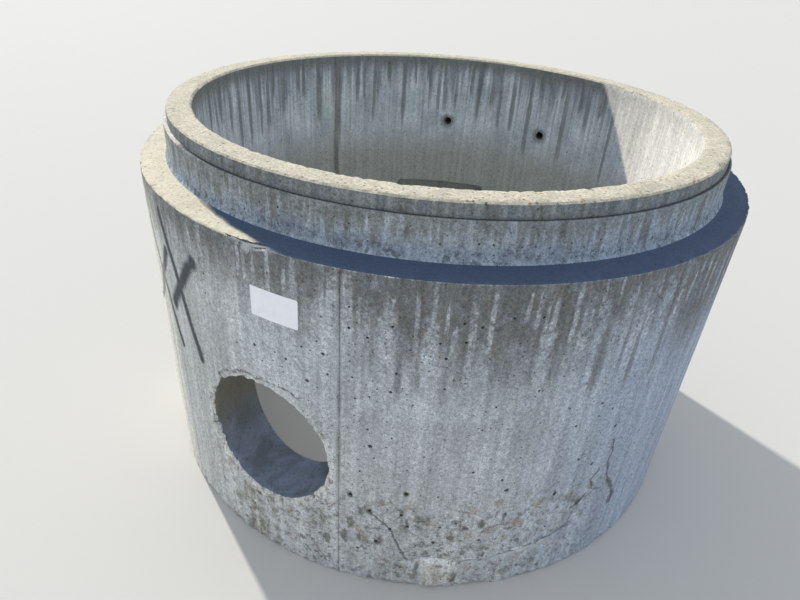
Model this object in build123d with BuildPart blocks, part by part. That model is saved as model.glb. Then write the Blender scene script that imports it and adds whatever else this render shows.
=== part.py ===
from build123d import *
from math import asin, cos, degrees, radians, sin, sqrt
import os

# A precast concrete manhole section: a short, wide barrel, open at both ends, with a spigot on top.
# Sizes are in millimetres. Z is the barrel's axis, the base stands on Z = 0, and the step is on +Y.

# Barrel
bore_radius = 609.6
wall_thickness = 127.0
overall_height = 914.4

# Spigot that enters the section above, with one offset that seats a rubber gasket
spigot_height = 108.0
shoulder_width = 60.6
gasket_ledge_width = 8.5
gasket_seat_height = 30.0
spigot_root_fillet = 10.0

# Arrises: struck off at 45 degrees where two mould rings meet, and rounded at the shoulder
rim_inner_chamfer = 5.0
rim_outer_chamfer = 4.0
gasket_ledge_chamfer = 2.0
base_chamfer = 4.0
shoulder_round = 5.0

# Opening for a 12 inch pipe, straight through the wall
pipe_opening_radius = 152.4
pipe_opening_height = 338.0
pipe_opening_angle = -98.3
pipe_mouth_round = 8.0
pipe_inner_round = 4.0

# Two blind holes for the legs of a climbing step, each with the print of its plastic former
step_hole_radius = 12.7
step_hole_depth = 89.0
step_leg_spacing = 330.2
step_below_rim = 215.4
step_print_radius = 21.5
step_print_depth = 4.0

# Knockout: a pocket in the inner face that leaves a thin web for a second pipe
knockout_width = 320.0
knockout_height = 290.0
knockout_top_height = 473.0
knockout_angle = 106.2
knockout_web = 50.8
knockout_corner_radius = 12.0

# Places and sizes that follow from the ones above
outer_radius = bore_radius + wall_thickness
shoulder_height = overall_height - spigot_height
spigot_radius = outer_radius - shoulder_width
gasket_seat_radius = spigot_radius - gasket_ledge_width
gasket_ledge_height = overall_height - gasket_seat_height
step_height = overall_height - step_below_rim
step_leg_angle = degrees(asin(step_leg_spacing / 2 / bore_radius))
step_leg_face = sqrt(bore_radius**2 - (step_leg_spacing / 2) ** 2)
knockout_centre_height = knockout_top_height - knockout_height / 2


def radial_plane(angle, height, distance=0.0):
    """A plane that looks outwards from the axis, with its own Y axis upwards."""
    outward = Vector(cos(radians(angle)), sin(radians(angle)), 0)
    sideways = Vector(-sin(radians(angle)), cos(radians(angle)), 0)
    return Plane(origin=outward * distance + Vector(0, 0, height), x_dir=sideways, z_dir=outward)


# The pocket's back follows the outer face, so that the web has one thickness
with BuildPart() as knockout_pocket:
    with BuildSketch(radial_plane(knockout_angle, knockout_centre_height)):
        RectangleRounded(knockout_width, knockout_height, knockout_corner_radius)
    extrude(amount=outer_radius)
    with Locations((0, 0, knockout_centre_height)):
        Cylinder(outer_radius - knockout_web, knockout_height, mode=Mode.INTERSECT)

with BuildPart() as manhole_section:
    # Half of the wall's section, turned about the barrel's axis
    with BuildSketch(Plane.XZ):
        with BuildLine():
            Polyline(
                (bore_radius, 0),
                (outer_radius, 0),
                (outer_radius, shoulder_height),
                (spigot_radius, shoulder_height),
                (spigot_radius, gasket_ledge_height),
                (gasket_seat_radius, gasket_ledge_height),
                (gasket_seat_radius, overall_height),
                (bore_radius, overall_height),
                close=True,
            )
        make_face()
    revolve(axis=Axis.Z)

    # Arrises, from the base up: two rings at each level, the inner one first
    rings = manhole_section.edges().filter_by(GeomType.CIRCLE).group_by(Axis.Z)
    base_rings = rings[0]
    spigot_root, shoulder_arris = rings[1].sort_by(SortBy.RADIUS)
    ledge_arris = rings[2].sort_by(SortBy.RADIUS)[-1]
    rim_inner, rim_outer = rings[3].sort_by(SortBy.RADIUS)
    chamfer(base_rings, base_chamfer)
    fillet(spigot_root, spigot_root_fillet)
    fillet(shoulder_arris, shoulder_round)
    chamfer(ledge_arris, gasket_ledge_chamfer)
    chamfer(rim_inner, rim_inner_chamfer)
    chamfer(rim_outer, rim_outer_chamfer)

    # Pipe opening: the hole starts on the outer face and stops on the axis, so it cuts one wall
    with Locations(radial_plane(pipe_opening_angle, pipe_opening_height, outer_radius)):
        Hole(pipe_opening_radius, depth=outer_radius)
    mouths = manhole_section.edges(Select.LAST).filter_by(GeomType.LINE, reverse=True)
    inner_mouth, outer_mouth = mouths.sort_by_distance((0, 0, pipe_opening_height))
    fillet(inner_mouth, pipe_inner_round)
    fillet(outer_mouth, pipe_mouth_round)

    # Step holes: the legs of a step are parallel, so the holes are too
    with Locations(Plane(origin=(0, 0, step_height), x_dir=(1, 0, 0), z_dir=(0, -1, 0))):
        with GridLocations(step_leg_spacing, 0, 2, 1):
            Hole(step_hole_radius, depth=step_leg_face + step_hole_depth)

    # The former's flange lay flat on the mould, so its print is square to the wall
    with Locations((0, 0, step_height)):
        with PolarLocations(bore_radius, 2, 90 - step_leg_angle, 2 * step_leg_angle, endpoint=True):
            Cylinder(step_print_radius, 2 * step_print_depth, rotation=(0, 90, 0), mode=Mode.SUBTRACT)

    add(knockout_pocket.part, mode=Mode.SUBTRACT)

manhole_section.part.label = "manhole_section"

os.makedirs("parts", exist_ok=True)
export_step(manhole_section.part, "parts/manhole_section.step")
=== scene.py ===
import math
import random

import bmesh
import bpy
from mathutils import Matrix, Vector, noise
from mathutils.kdtree import KDTree


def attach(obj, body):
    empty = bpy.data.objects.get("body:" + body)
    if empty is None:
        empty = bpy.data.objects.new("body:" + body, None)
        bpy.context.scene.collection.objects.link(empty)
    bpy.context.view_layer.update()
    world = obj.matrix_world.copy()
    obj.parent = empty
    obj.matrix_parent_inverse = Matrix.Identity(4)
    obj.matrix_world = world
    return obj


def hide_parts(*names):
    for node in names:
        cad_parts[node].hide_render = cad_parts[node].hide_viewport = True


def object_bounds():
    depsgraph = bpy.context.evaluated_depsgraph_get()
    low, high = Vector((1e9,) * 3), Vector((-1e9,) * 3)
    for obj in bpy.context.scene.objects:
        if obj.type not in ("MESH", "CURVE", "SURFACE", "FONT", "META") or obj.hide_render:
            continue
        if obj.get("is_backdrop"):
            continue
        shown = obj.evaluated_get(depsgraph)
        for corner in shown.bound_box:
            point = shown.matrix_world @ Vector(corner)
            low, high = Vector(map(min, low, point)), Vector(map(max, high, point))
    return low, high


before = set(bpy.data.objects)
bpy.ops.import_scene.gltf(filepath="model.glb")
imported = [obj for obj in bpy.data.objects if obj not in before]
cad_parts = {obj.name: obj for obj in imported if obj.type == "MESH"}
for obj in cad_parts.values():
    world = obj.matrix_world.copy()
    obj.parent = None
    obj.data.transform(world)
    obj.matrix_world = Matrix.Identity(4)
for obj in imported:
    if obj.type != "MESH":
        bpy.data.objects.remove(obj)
cad_low, cad_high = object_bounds()


# The cast wall: one pour of grey concrete between two steel ring moulds, stood on its base.
# Its section is a barrel wall, a flat shoulder and a spigot with one small ledge for a gasket.
# A bmesh spin turns that section about the barrel's axis, one column of faces to each degree.
BORE = 0.6096
OUTSIDE = 0.7366
SHOULDER_Z = 0.8064
SPIGOT = 0.676
LEDGE_Z = 0.8844
GASKET_SEAT = 0.6675
TOP_Z = 0.9144
COLUMNS = 360

FINISHES = ["outer_face", "spigot_face", "trowelled_top", "inner_face", "pipe_bore", "underside"]

# Each run of the section: its finish, its number of steps, and the radius and height where it ends
SECTION_START = (0.6136, 0.0)
SECTION = [
    ("underside", 5, (0.7326, 0.0)),
    ("outer_face", 1, (OUTSIDE, 0.004)),
    ("outer_face", 64, (OUTSIDE, 0.8014)),
    ("outer_face", 1, (0.73622, 0.8034)),
    ("trowelled_top", 1, (0.7351, 0.80495)),
    ("trowelled_top", 1, (0.7335, 0.80603)),
    ("trowelled_top", 1, (0.7316, SHOULDER_Z)),
    ("trowelled_top", 4, (0.686, SHOULDER_Z)),
    ("trowelled_top", 1, (0.681, 0.80774)),
    ("spigot_face", 1, (0.67734, 0.8114)),
    ("spigot_face", 1, (SPIGOT, 0.8164)),
    ("spigot_face", 5, (SPIGOT, 0.8824)),
    ("spigot_face", 1, (0.674, LEDGE_Z)),
    ("spigot_face", 1, (GASKET_SEAT, LEDGE_Z)),
    ("spigot_face", 2, (GASKET_SEAT, 0.9104)),
    ("trowelled_top", 1, (0.6635, TOP_Z)),
    ("trowelled_top", 5, (0.6146, TOP_Z)),
    ("trowelled_top", 1, (BORE, 0.9094)),
    ("inner_face", 72, (BORE, 0.004)),
    ("underside", 1, SECTION_START),
]

section_points = [SECTION_START]
section_finishes = []
for finish, steps, end in SECTION:
    start = section_points[-1]
    for step in range(1, steps + 1):
        share = step / steps
        section_points.append(
            (start[0] + (end[0] - start[0]) * share, start[1] + (end[1] - start[1]) * share)
        )
        section_finishes.append(FINISHES.index(finish))
section_points.pop()
ROWS = len(section_points)
section_tree = KDTree(ROWS)
for row, (r, z) in enumerate(section_points):
    section_tree.insert((r, 0, z), row)
section_tree.balance()

# Three marks go with each point of the casting, for its colour: how deep it is in an air hole or
# a groove, which is darkened with painted shade and dirt, how freshly broken its face is, and how
# much of it is the patch of mortar low in the wall
cast = bmesh.new()
hollow = cast.verts.layers.float.new("hollow")
broken = cast.verts.layers.float.new("broken")
mortar = cast.verts.layers.float.new("mortar")
outline = [cast.verts.new((r, 0, z)) for r, z in section_points]
outline_edges = [cast.edges.new((outline[row - 1], outline[row])) for row in range(ROWS)]
bmesh.ops.spin(
    cast,
    geom=outline + outline_edges,
    cent=(0, 0, 0),
    axis=(0, 0, 1),
    angle=2 * math.pi,
    steps=COLUMNS,
    use_merge=True,
)
cast.normal_update()

# Every vertex is known by its column, which is its angle in degrees, and its row of the section
place_of = {}
vertex_at = {}
for vert in cast.verts:
    column = round(math.degrees(math.atan2(vert.co.y, vert.co.x))) % COLUMNS
    point, row, gap = section_tree.find((math.hypot(vert.co.x, vert.co.y), 0, vert.co.z))
    place_of[vert] = (column, row)
    vertex_at[(column, row)] = vert
for face in cast.faces:
    rows = sorted({place_of[vert][1] for vert in face.verts})
    face.material_index = section_finishes[ROWS - 1 if rows == [0, ROWS - 1] else rows[0]]


def rows_between(radius, low, high):
    """The rows of the section on a wall of this radius, from one height to another."""
    return [
        row
        for row, (r, z) in enumerate(section_points)
        if abs(r - radius) < 1e-5 and low <= z <= high
    ]


def block(first_column, last_column, rows):
    """The faces that lie between two columns and between the first and last of these rows."""
    low, high = min(rows), max(rows)
    wanted = {
        vertex_at[(column % COLUMNS, row)]
        for column in range(first_column, last_column + 1)
        for row in range(low, high + 1)
    }
    return [
        face
        for face in {face for vert in wanted for face in vert.link_faces}
        if all(vert in wanted for vert in face.verts)
    ]


# The pipe opening: a round hole left by a drum in the mould, low in the wall and nearly opposite
# the step. The face around it is cut away, and the edge of that gap is carried inwards in rings.
PIPE_BEARING = -98.3
PIPE_ANGLE = math.radians(PIPE_BEARING)
PIPE_Z = 0.338
PIPE_RADIUS = 0.1524
MOUTH_ROUND = 0.008
INNER_ROUND = 0.004
pipe_out = Vector((math.cos(PIPE_ANGLE), math.sin(PIPE_ANGLE), 0))
pipe_side = Vector((-math.sin(PIPE_ANGLE), math.cos(PIPE_ANGLE), 0))


def border_of(faces):
    """The open edges left when these faces are deleted."""
    edges = {edge for face in faces for edge in face.edges}
    edges = [edge for edge in edges if sum(face in faces for face in edge.link_faces) == 1]
    bmesh.ops.delete(cast, geom=list(faces), context="FACES")
    return edges


def carry(edges, spokes, place, finish):
    """Extrudes an open edge once, and gives each new vertex its old one's spoke and its place."""
    grown = bmesh.ops.extrude_edge_only(cast, edges=edges)["geom"]
    old_verts = set(spokes)
    new_verts = {item for item in grown if isinstance(item, bmesh.types.BMVert)} - old_verts
    for vert in new_verts:
        old = next(e.other_vert(vert) for e in vert.link_edges if e.other_vert(vert) in old_verts)
        spokes[vert] = spokes[old]
        vert.co = place(spokes[vert])
    new_edges = [
        item
        for item in grown
        if isinstance(item, bmesh.types.BMEdge) and all(vert in new_verts for vert in item.verts)
    ]
    for face in {face for edge in new_edges for face in edge.link_faces}:
        face.material_index = FINISHES.index(finish)
    return new_edges


def around(verts, centre_z, side):
    """These vertices in order of their angle about a hole's centre, each with that angle."""
    found = [(math.atan2(vert.co.z - centre_z, vert.co.dot(side)), vert) for vert in verts]
    return sorted(found, key=lambda pair: pair[0])


outer_rows = rows_between(OUTSIDE, 0.16, 0.52)
inner_rows = rows_between(BORE, 0.16, 0.52)[: len(outer_rows)]
outer_border = border_of(set(block(-114, -82, outer_rows)))
inner_border = border_of(set(block(-114, -82, inner_rows)))
outer_loop = around({v for e in outer_border for v in e.verts}, PIPE_Z, pipe_side)
inner_loop = around({v for e in inner_border for v in e.verts}, PIPE_Z, pipe_side)
spokes = {}
for (outer_angle, vert), (inner_angle, inner_vert) in zip(outer_loop, inner_loop):
    reach = math.hypot(vert.co.z - PIPE_Z, vert.co.dot(pipe_side))
    inner_reach = math.hypot(inner_vert.co.z - PIPE_Z, inner_vert.co.dot(pipe_side))
    spokes[vert] = (outer_angle, reach, inner_angle, inner_reach)


def on_wall(angle, reach, radius, sunk):
    """A point beside the opening's axis, that far along it from the wall's face of this radius."""
    side = reach * math.cos(angle)
    along = math.sqrt(radius**2 - side**2) - sunk
    return pipe_out * along + pipe_side * side + Vector((0, 0, PIPE_Z + reach * math.sin(angle)))


def mouth_ring(share, reach, sunk):
    """A ring of the outer mouth: its share of the way in from the gap's edge, or its own reach."""

    def place(spoke):
        mouth = PIPE_RADIUS + MOUTH_ROUND
        return on_wall(spoke[0], reach or mouth + (spoke[1] - mouth) * share, OUTSIDE, sunk)

    return place


def bore_ring(share):
    """A ring of the opening's own wall, this share of the way from the outer mouth to the inner."""

    def place(spoke):
        angle = spoke[0] + (spoke[2] - spoke[0]) * share
        outer = on_wall(angle, PIPE_RADIUS, OUTSIDE, MOUTH_ROUND)
        inner = on_wall(angle, PIPE_RADIUS, BORE, -INNER_ROUND)
        return outer.lerp(inner, share)

    return place


def inner_ring(share, reach, sunk):
    """A ring of the inner mouth, out to the edge of the gap in the inner face."""

    def place(spoke):
        mouth = PIPE_RADIUS + INNER_ROUND
        return on_wall(spoke[2], reach or mouth + (spoke[3] - mouth) * share, BORE, -sunk)

    return place


# Rings from the gap's edge to the mouth, over its round, along the drum's wall, and out inside
edge = outer_border
for share in (0.72, 0.48, 0.3, 0.16, 0.07, 0.0):
    edge = carry(edge, spokes, mouth_ring(share, None, 0.0), "outer_face")
for turn in (25, 50, 70, 90):
    reach = PIPE_RADIUS + MOUTH_ROUND * (1 - math.sin(math.radians(turn)))
    sunk = MOUTH_ROUND * (1 - math.cos(math.radians(turn)))
    finish = "outer_face" if turn < 60 else "pipe_bore"
    edge = carry(edge, spokes, mouth_ring(0, reach, sunk), finish)
for step in range(1, 13):
    edge = carry(edge, spokes, bore_ring(step / 12), "pipe_bore")
for turn in (60, 30, 0):
    reach = PIPE_RADIUS + INNER_ROUND * (1 - math.sin(math.radians(turn)))
    sunk = INNER_ROUND * (1 - math.cos(math.radians(turn)))
    edge = carry(edge, spokes, inner_ring(0, reach, sunk), "inner_face")
edge = carry(edge, spokes, inner_ring(1, None, 0.0), "inner_face")
bmesh.ops.remove_doubles(
    cast,
    verts=list({v for e in edge for v in e.verts} | {vert for angle, vert in inner_loop}),
    dist=0.0004,
)


# The step's sockets: two blind holes left by plastic formers, with the print of each former's
# round flange in the inner face. The holes are parallel, as the legs of a climbing step are.
STEP_Z = 0.699
STEP_LEG_ANGLE = 15.71
SOCKET_RADIUS = 0.0127
SOCKET_DEPTH = 0.089
PRINT_RADIUS = 0.0215
PRINT_DEPTH = 0.004
# Each ring of a socket, from the wall's face to its end: its finish, its radius and its depth
SOCKET_RINGS = [
    ("inner_face", PRINT_RADIUS + 0.0025, 0.0),
    ("inner_face", PRINT_RADIUS, 0.001),
    ("inner_face", PRINT_RADIUS - 0.0008, PRINT_DEPTH),
    ("inner_face", SOCKET_RADIUS + 0.0012, PRINT_DEPTH),
    ("pipe_bore", SOCKET_RADIUS, PRINT_DEPTH + 0.0015),
    ("pipe_bore", SOCKET_RADIUS, 0.035),
    ("pipe_bore", SOCKET_RADIUS, 0.065),
    ("pipe_bore", SOCKET_RADIUS - 0.0004, SOCKET_DEPTH - 0.002),
    ("pipe_bore", SOCKET_RADIUS - 0.003, SOCKET_DEPTH),
]
for turn in (-STEP_LEG_ANGLE, STEP_LEG_ANGLE):
    leg = math.radians(90 + turn)
    face_out = Vector((math.cos(leg), math.sin(leg), 0))
    face_side = Vector((-math.sin(leg), math.cos(leg), 0))
    centre = face_out * BORE + Vector((0, 0, STEP_Z))
    middle = round(90 + turn)
    socket_faces = block(middle - 3, middle + 3, rows_between(BORE, STEP_Z - 0.036, STEP_Z + 0.036))
    edge = border_of(set(socket_faces))
    legs = {
        vert: (math.atan2(vert.co.z - STEP_Z, (vert.co - centre).dot(face_side)),)
        for vert in {v for e in edge for v in e.verts}
    }

    def socket_ring(reach, depth):
        """A ring about one leg's line: on the curved face, in the flange's print or in the hole."""

        def place(spoke):
            side = reach * math.cos(spoke[0])
            curve = BORE - math.sqrt(BORE**2 - side**2) if reach > PRINT_RADIUS else 0.0
            flat = face_side * side + Vector((0, 0, reach * math.sin(spoke[0])))
            if depth <= PRINT_DEPTH:
                return centre + flat + face_out * (depth - curve)
            along = (depth - PRINT_DEPTH) * Vector((0, 1, 0))
            return centre + flat + face_out * PRINT_DEPTH + along

        return place

    for finish, reach, depth in SOCKET_RINGS:
        edge = carry(edge, legs, socket_ring(reach, depth), finish)
    end = bmesh.ops.edgeloop_fill(cast, edges=edge)["faces"]
    for face in end:
        face.material_index = FINISHES.index("pipe_bore")


# The knockout: a blind pocket that a box in the inner mould left, with a thin web behind it to
# break out for a second pipe. Its sides run straight out and its back follows the outer face.
KNOCKOUT_ANGLE = math.radians(106.2)
KNOCKOUT_HALF_WIDTH = 0.16
KNOCKOUT_LOW = 0.183
KNOCKOUT_HIGH = 0.473
KNOCKOUT_BACK = 0.6858
KNOCKOUT_CORNER = 0.012
KNOCKOUT_ARRIS = 0.003
knockout_out = Vector((math.cos(KNOCKOUT_ANGLE), math.sin(KNOCKOUT_ANGLE), 0))
knockout_side = Vector((-math.sin(KNOCKOUT_ANGLE), math.cos(KNOCKOUT_ANGLE), 0))
knockout_rows = rows_between(BORE, KNOCKOUT_LOW - 0.006, KNOCKOUT_HIGH + 0.006)
pocket_faces = block(91, 121, knockout_rows)
low_z = min(section_points[row][1] for row in knockout_rows)
high_z = max(section_points[row][1] for row in knockout_rows)


def pocket_point(vert, radius):
    """Where a vertex of the pocket goes, on its outline or inside it, on a wall of this radius."""
    side = vert.co.dot(knockout_side)
    height = vert.co.z
    if place_of[vert][0] in (91, 121):
        side = math.copysign(KNOCKOUT_HALF_WIDTH, side)
    if abs(height - low_z) < 1e-4:
        height = KNOCKOUT_LOW
    if abs(height - high_z) < 1e-4:
        height = KNOCKOUT_HIGH
    middle = (KNOCKOUT_LOW + KNOCKOUT_HIGH) / 2
    over_side = abs(side) - (KNOCKOUT_HALF_WIDTH - KNOCKOUT_CORNER)
    over_height = abs(height - middle) - (KNOCKOUT_HIGH - middle - KNOCKOUT_CORNER)
    if over_side > 0 and over_height > 0 and math.hypot(over_side, over_height) > KNOCKOUT_CORNER:
        pull = KNOCKOUT_CORNER / math.hypot(over_side, over_height)
        side = math.copysign(abs(side) - over_side * (1 - pull), side)
        pulled = abs(height - middle) - over_height * (1 - pull)
        height = middle + math.copysign(pulled, height - middle)
    along = math.sqrt(radius**2 - side**2)
    return knockout_out * along + knockout_side * side + Vector((0, 0, height))


pocket_verts = {vert for face in pocket_faces for vert in face.verts}
front = {vert: pocket_point(vert, BORE) for vert in pocket_verts}
back = {vert: pocket_point(vert, KNOCKOUT_BACK) for vert in pocket_verts}
for vert, point in front.items():
    vert.co = point
back_of_front = {tuple(round(x, 6) for x in front[vert]): back[vert] for vert in pocket_verts}
pushed = bmesh.ops.extrude_face_region(cast, geom=pocket_faces)["geom"]
pocket_back = [item for item in pushed if isinstance(item, bmesh.types.BMVert)]
for vert in pocket_back:
    vert.co = back_of_front[tuple(round(x, 6) for x in vert.co)]
bmesh.ops.delete(cast, geom=[face for face in pocket_faces if face.is_valid], context="FACES")


def in_pocket(co, slack=0.01):
    """Whether a point lies in the knockout or on its outline, give or take a little."""
    return (
        abs(co.dot(knockout_side)) < KNOCKOUT_HALF_WIDTH + slack
        and co.dot(knockout_out) > 0
        and KNOCKOUT_LOW - slack < co.z < KNOCKOUT_HIGH + slack
        and math.hypot(co.x, co.y) < KNOCKOUT_BACK + slack
    )


pocket_rims = [
    edge
    for edge in cast.edges
    if edge.is_manifold
    and edge.calc_face_angle(0) > math.radians(50)
    and all(in_pocket(vert.co) for vert in edge.verts)
]
bmesh.ops.bevel(
    cast,
    geom=pocket_rims,
    offset=KNOCKOUT_ARRIS,
    offset_type="OFFSET",
    affect="EDGES",
    segments=2,
    profile=0.5,
    material=-1,
)


# Struck and broken arrises: the edges of wet concrete tear a little as the mould rings lift off,
# and dry ones chip in handling. The edge rows get twice the columns, and then lose small bites.
def angle_of(co):
    """A point's angle about the barrel's axis, in degrees."""
    return math.degrees(math.atan2(co.y, co.x))


def turned(angle, other):
    """The shortest turn from one angle to another, in degrees."""
    return (angle - other + 180) % 360 - 180


def split_rings(low_radius, high_radius, low_z, high_z):
    """Doubles the columns between two radii and two heights."""
    edges = []
    for edge in cast.edges:
        a, b = (vert.co for vert in edge.verts)
        flat = abs(a.z - b.z) < 1e-5
        radii = [math.hypot(co.x, co.y) for co in (a, b)]
        level = abs(radii[0] - radii[1]) < 1e-4
        inside = low_radius <= min(radii) and max(radii) <= high_radius
        if flat and level and inside and low_z <= a.z <= high_z and edge.calc_length() > 0.004:
            edges.append(edge)
    bmesh.ops.subdivide_edges(cast, edges=edges, cuts=1, use_grid_fill=True)


split_rings(0.62, 0.7367, 0.7766, 0.92)
split_rings(0.6, 0.62, 0.895, 0.92)
split_rings(0.72, 0.7367, -0.001, 0.017)

# The wave of the sheet-steel moulds, the torn skin of the tops and the chips of the edges. A bite
# is listed by its angle, half width in degrees and depth, and on the rim also by its radius.
random.seed(4)
RIM_BITES = [(-40.5, 1.1, 0.006, 0.653), (-37.9, 0.9, 0.005, 0.649), (-15.7, 1.0, 0.009, 0.664)]
EDGE_BITES = [
    (random.uniform(-180, 180), random.uniform(0.5, 1.6), random.uniform(0.001, 0.004))
    for bite in range(70)
]


def swell(co, size, depth):
    """Smooth noise from 0 to depth, with humps about as wide as size."""
    return depth * (0.5 + 0.5 * noise.noise(co / size))


def tear(co, size, depth):
    """Ragged noise from 0 to depth, mostly low with a few deep places."""
    return depth * max(0.0, noise.noise(co / size) * 1.6 + 0.15)


def outer_wave(co):
    """How far the outer mould's bent plate let the face fall short of a true cylinder."""
    return swell(co, 0.16, 0.0011) + swell(co, 0.03, 0.0004)


for vert in cast.verts:
    co = vert.co
    radius = math.hypot(co.x, co.y)
    outward = Vector((co.x / radius, co.y / radius, 0))
    angle = angle_of(co)
    move = Vector((0, 0, 0))
    outer_skin = radius > OUTSIDE - 0.0002
    inner_skin = radius < BORE + 0.0002
    if outer_skin:
        move -= outward * outer_wave(co)
    if inner_skin:
        move += outward * (swell(co, 0.2, 0.0012) + swell(co, 0.035, 0.0004))
    if min(abs(radius - SPIGOT), abs(radius - GASKET_SEAT)) < 0.0005:
        move -= outward * (swell(co, 0.1, 0.0008) + swell(co, 0.012, 0.0004))
    if co.z > TOP_Z - 0.0001:
        move.z -= swell(co, 0.05, 0.0007) + swell(co, 0.011, 0.0009)
    if abs(co.z - SHOULDER_Z) < 0.0001:
        move.z -= swell(co, 0.05, 0.0007) + swell(co, 0.011, 0.0010)
    shoulder_edge = radius > 0.7312 and co.z > 0.8013
    rim_outer_edge = 0.663 < radius < 0.668 and co.z > 0.91
    rim_inner_edge = radius < 0.615 and co.z > 0.9093
    ledge_edge = 0.6738 < radius < 0.6762 and abs(co.z - 0.8834) < 0.0011
    base_edge = (radius > 0.7325 or radius < 0.6137) and co.z < 0.0041
    bites = sum(
        depth * max(0.0, 1 - (turned(angle, place) / width) ** 2)
        for place, width, depth in EDGE_BITES
        if abs(turned(angle, place)) < width
    )
    if shoulder_edge:
        worn = 0.0006 + tear(co, 0.010, 0.0026) + 0.7 * bites
        move += Vector((0, 0, -0.6 * worn)) - outward * worn
    if rim_outer_edge:
        worn = 0.0003 + tear(co, 0.009, 0.0017) + 0.3 * bites
        move += Vector((0, 0, -0.6 * worn)) - outward * worn * 0.7
    if rim_inner_edge:
        worn = 0.0004 + tear(co, 0.009, 0.0022)
        move += Vector((0, 0, -0.6 * worn)) + outward * worn
    if ledge_edge:
        move -= outward * tear(co, 0.008, 0.0012)
    if base_edge:
        worn = tear(co, 0.014, 0.0045) + bites
        move += Vector((0, 0, 0.7 * worn)) + outward * (-worn if radius > 0.7 else worn)
    for place, width, depth, reach in RIM_BITES:
        off = math.hypot(turned(angle, place) / width, (radius - reach) / 0.008)
        if off < 1 and co.z > 0.905:
            move.z -= depth * (1 - off**2)
    vert.co = co + move
cast.normal_update()


# The broken corner on the shoulder's edge: a flat flake came off, and left a paler, hollowed face
# under a torn line. The faces there are split finely and pressed onto the broken surface, whose
# bite into the shoulder and drop down the wall are listed by angle.
CHIP_ANGLE = -98.3
CHIP_BITE = [(-102.7, 0.0), (-102.2, 0.006), (-101.2, 0.007), (-99.6, 0.006), (-98.4, 0.008)]
CHIP_BITE += [(-97.2, 0.013), (-95.9, 0.017), (-95.1, 0.012), (-94.2, 0.0)]
CHIP_DROP = [(-102.7, 0.0), (-102.2, 0.003), (-101.2, 0.006), (-100.0, 0.016), (-98.9, 0.021)]
CHIP_DROP += [(-97.6, 0.016), (-96.4, 0.013), (-95.4, 0.009), (-94.2, 0.0)]
CHIP_HOLLOW = 0.0028


def near_angle(co, angle, reach):
    """Whether a point's angle is within reach of another, in degrees."""
    return abs(turned(angle_of(co), angle)) < reach


def along_path(path, place):
    """The height of a path of straight runs at a place along it, and 0 beyond its ends."""
    for (start, low), (end, high) in zip(path, path[1:]):
        if start <= place <= end:
            return low + (high - low) * (place - start) / (end - start)
    return 0.0


def split_patch(wanted):
    """Halves the edges of the faces whose centres pass the test."""
    faces = [face for face in cast.faces if wanted(face.calc_center_median())]
    edges = list({edge for face in faces for edge in face.edges})
    bmesh.ops.subdivide_edges(cast, edges=edges, cuts=1, use_grid_fill=True)


def wall_patch(centre, half_turn, low, high, inner_radius=0.72):
    """A test for faces near an angle, between two heights and outside a radius."""
    return (
        lambda c: near_angle(c, centre, half_turn)
        and low < c.z < high
        and math.hypot(c.x, c.y) > inner_radius
    )


for half_turn, low, inner_radius in ((5.5, 0.776, 0.708), (4.8, 0.780, 0.714), (4.4, 0.783, 0.717)):
    split_patch(wall_patch(CHIP_ANGLE, half_turn, low, TOP_Z, inner_radius))
for vert in cast.verts:
    co = vert.co
    radius = math.hypot(co.x, co.y)
    angle = angle_of(co)
    if not near_angle(co, CHIP_ANGLE, 4.6) or co.z < 0.775 or radius < 0.705:
        continue
    ragged = 1 + 0.22 * noise.noise(co / 0.006)
    bite, drop = along_path(CHIP_BITE, angle) * ragged, along_path(CHIP_DROP, angle) * ragged
    if bite < 0.0006 or drop < 0.0006:
        continue
    outward = Vector((co.x / radius, co.y / radius, 0))
    over = (co.z - (SHOULDER_Z - drop)) / drop - (OUTSIDE - radius) / bite
    if over > 0:
        normal = Vector((outward.x / bite, outward.y / bite, 1 / drop)).normalized()
        plane_depth = over / math.hypot(1 / drop, 1 / bite)
        on_plane = co - normal * plane_depth
        fallen = min(1.0, max(0.0, (SHOULDER_Z - on_plane.z) / drop))
        rough = 0.0012 * noise.noise(co / 0.005) + 0.0007 * noise.noise(co / 0.002)
        torn = max(0.0, 1 - abs(fallen - 0.14) / 0.16)
        sunk = CHIP_HOLLOW * 4 * fallen * (1 - fallen) + 0.0024 * torn
        vert.co = on_plane - normal * (sunk - rough)
        vert[broken] = min(1.0, 0.85 + 0.5 * noise.noise(co / 0.004))
        second_break = -97.8 < angle < -95.4 and abs(fallen - 0.58 + 0.06 * (angle + 97)) < 0.06
        # The torn line and the break below it are darkened as painted shade under the torn edge
        if torn > 0.1 or second_break or (angle < -101.4 and fallen < 0.6):
            vert[hollow] = 0.95


# The mould's joint: the outer mould is bent steel plate, bolted together along one upright line.
# Grout bled out there, and the wall keeps a thin groove from its base to the shoulder.
SEAM_ANGLE = -84.2
SEAM_HALF_WIDTH = 0.12
SEAM_DEPTH = 0.0012


def outward_of(co):
    """The level direction from the barrel's axis to a point."""
    return Vector((co.x, co.y, 0)).normalized()


def push(vert, distance):
    """Moves a vertex away from the axis, or towards it."""
    vert.co += outward_of(vert.co) * distance


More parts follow.
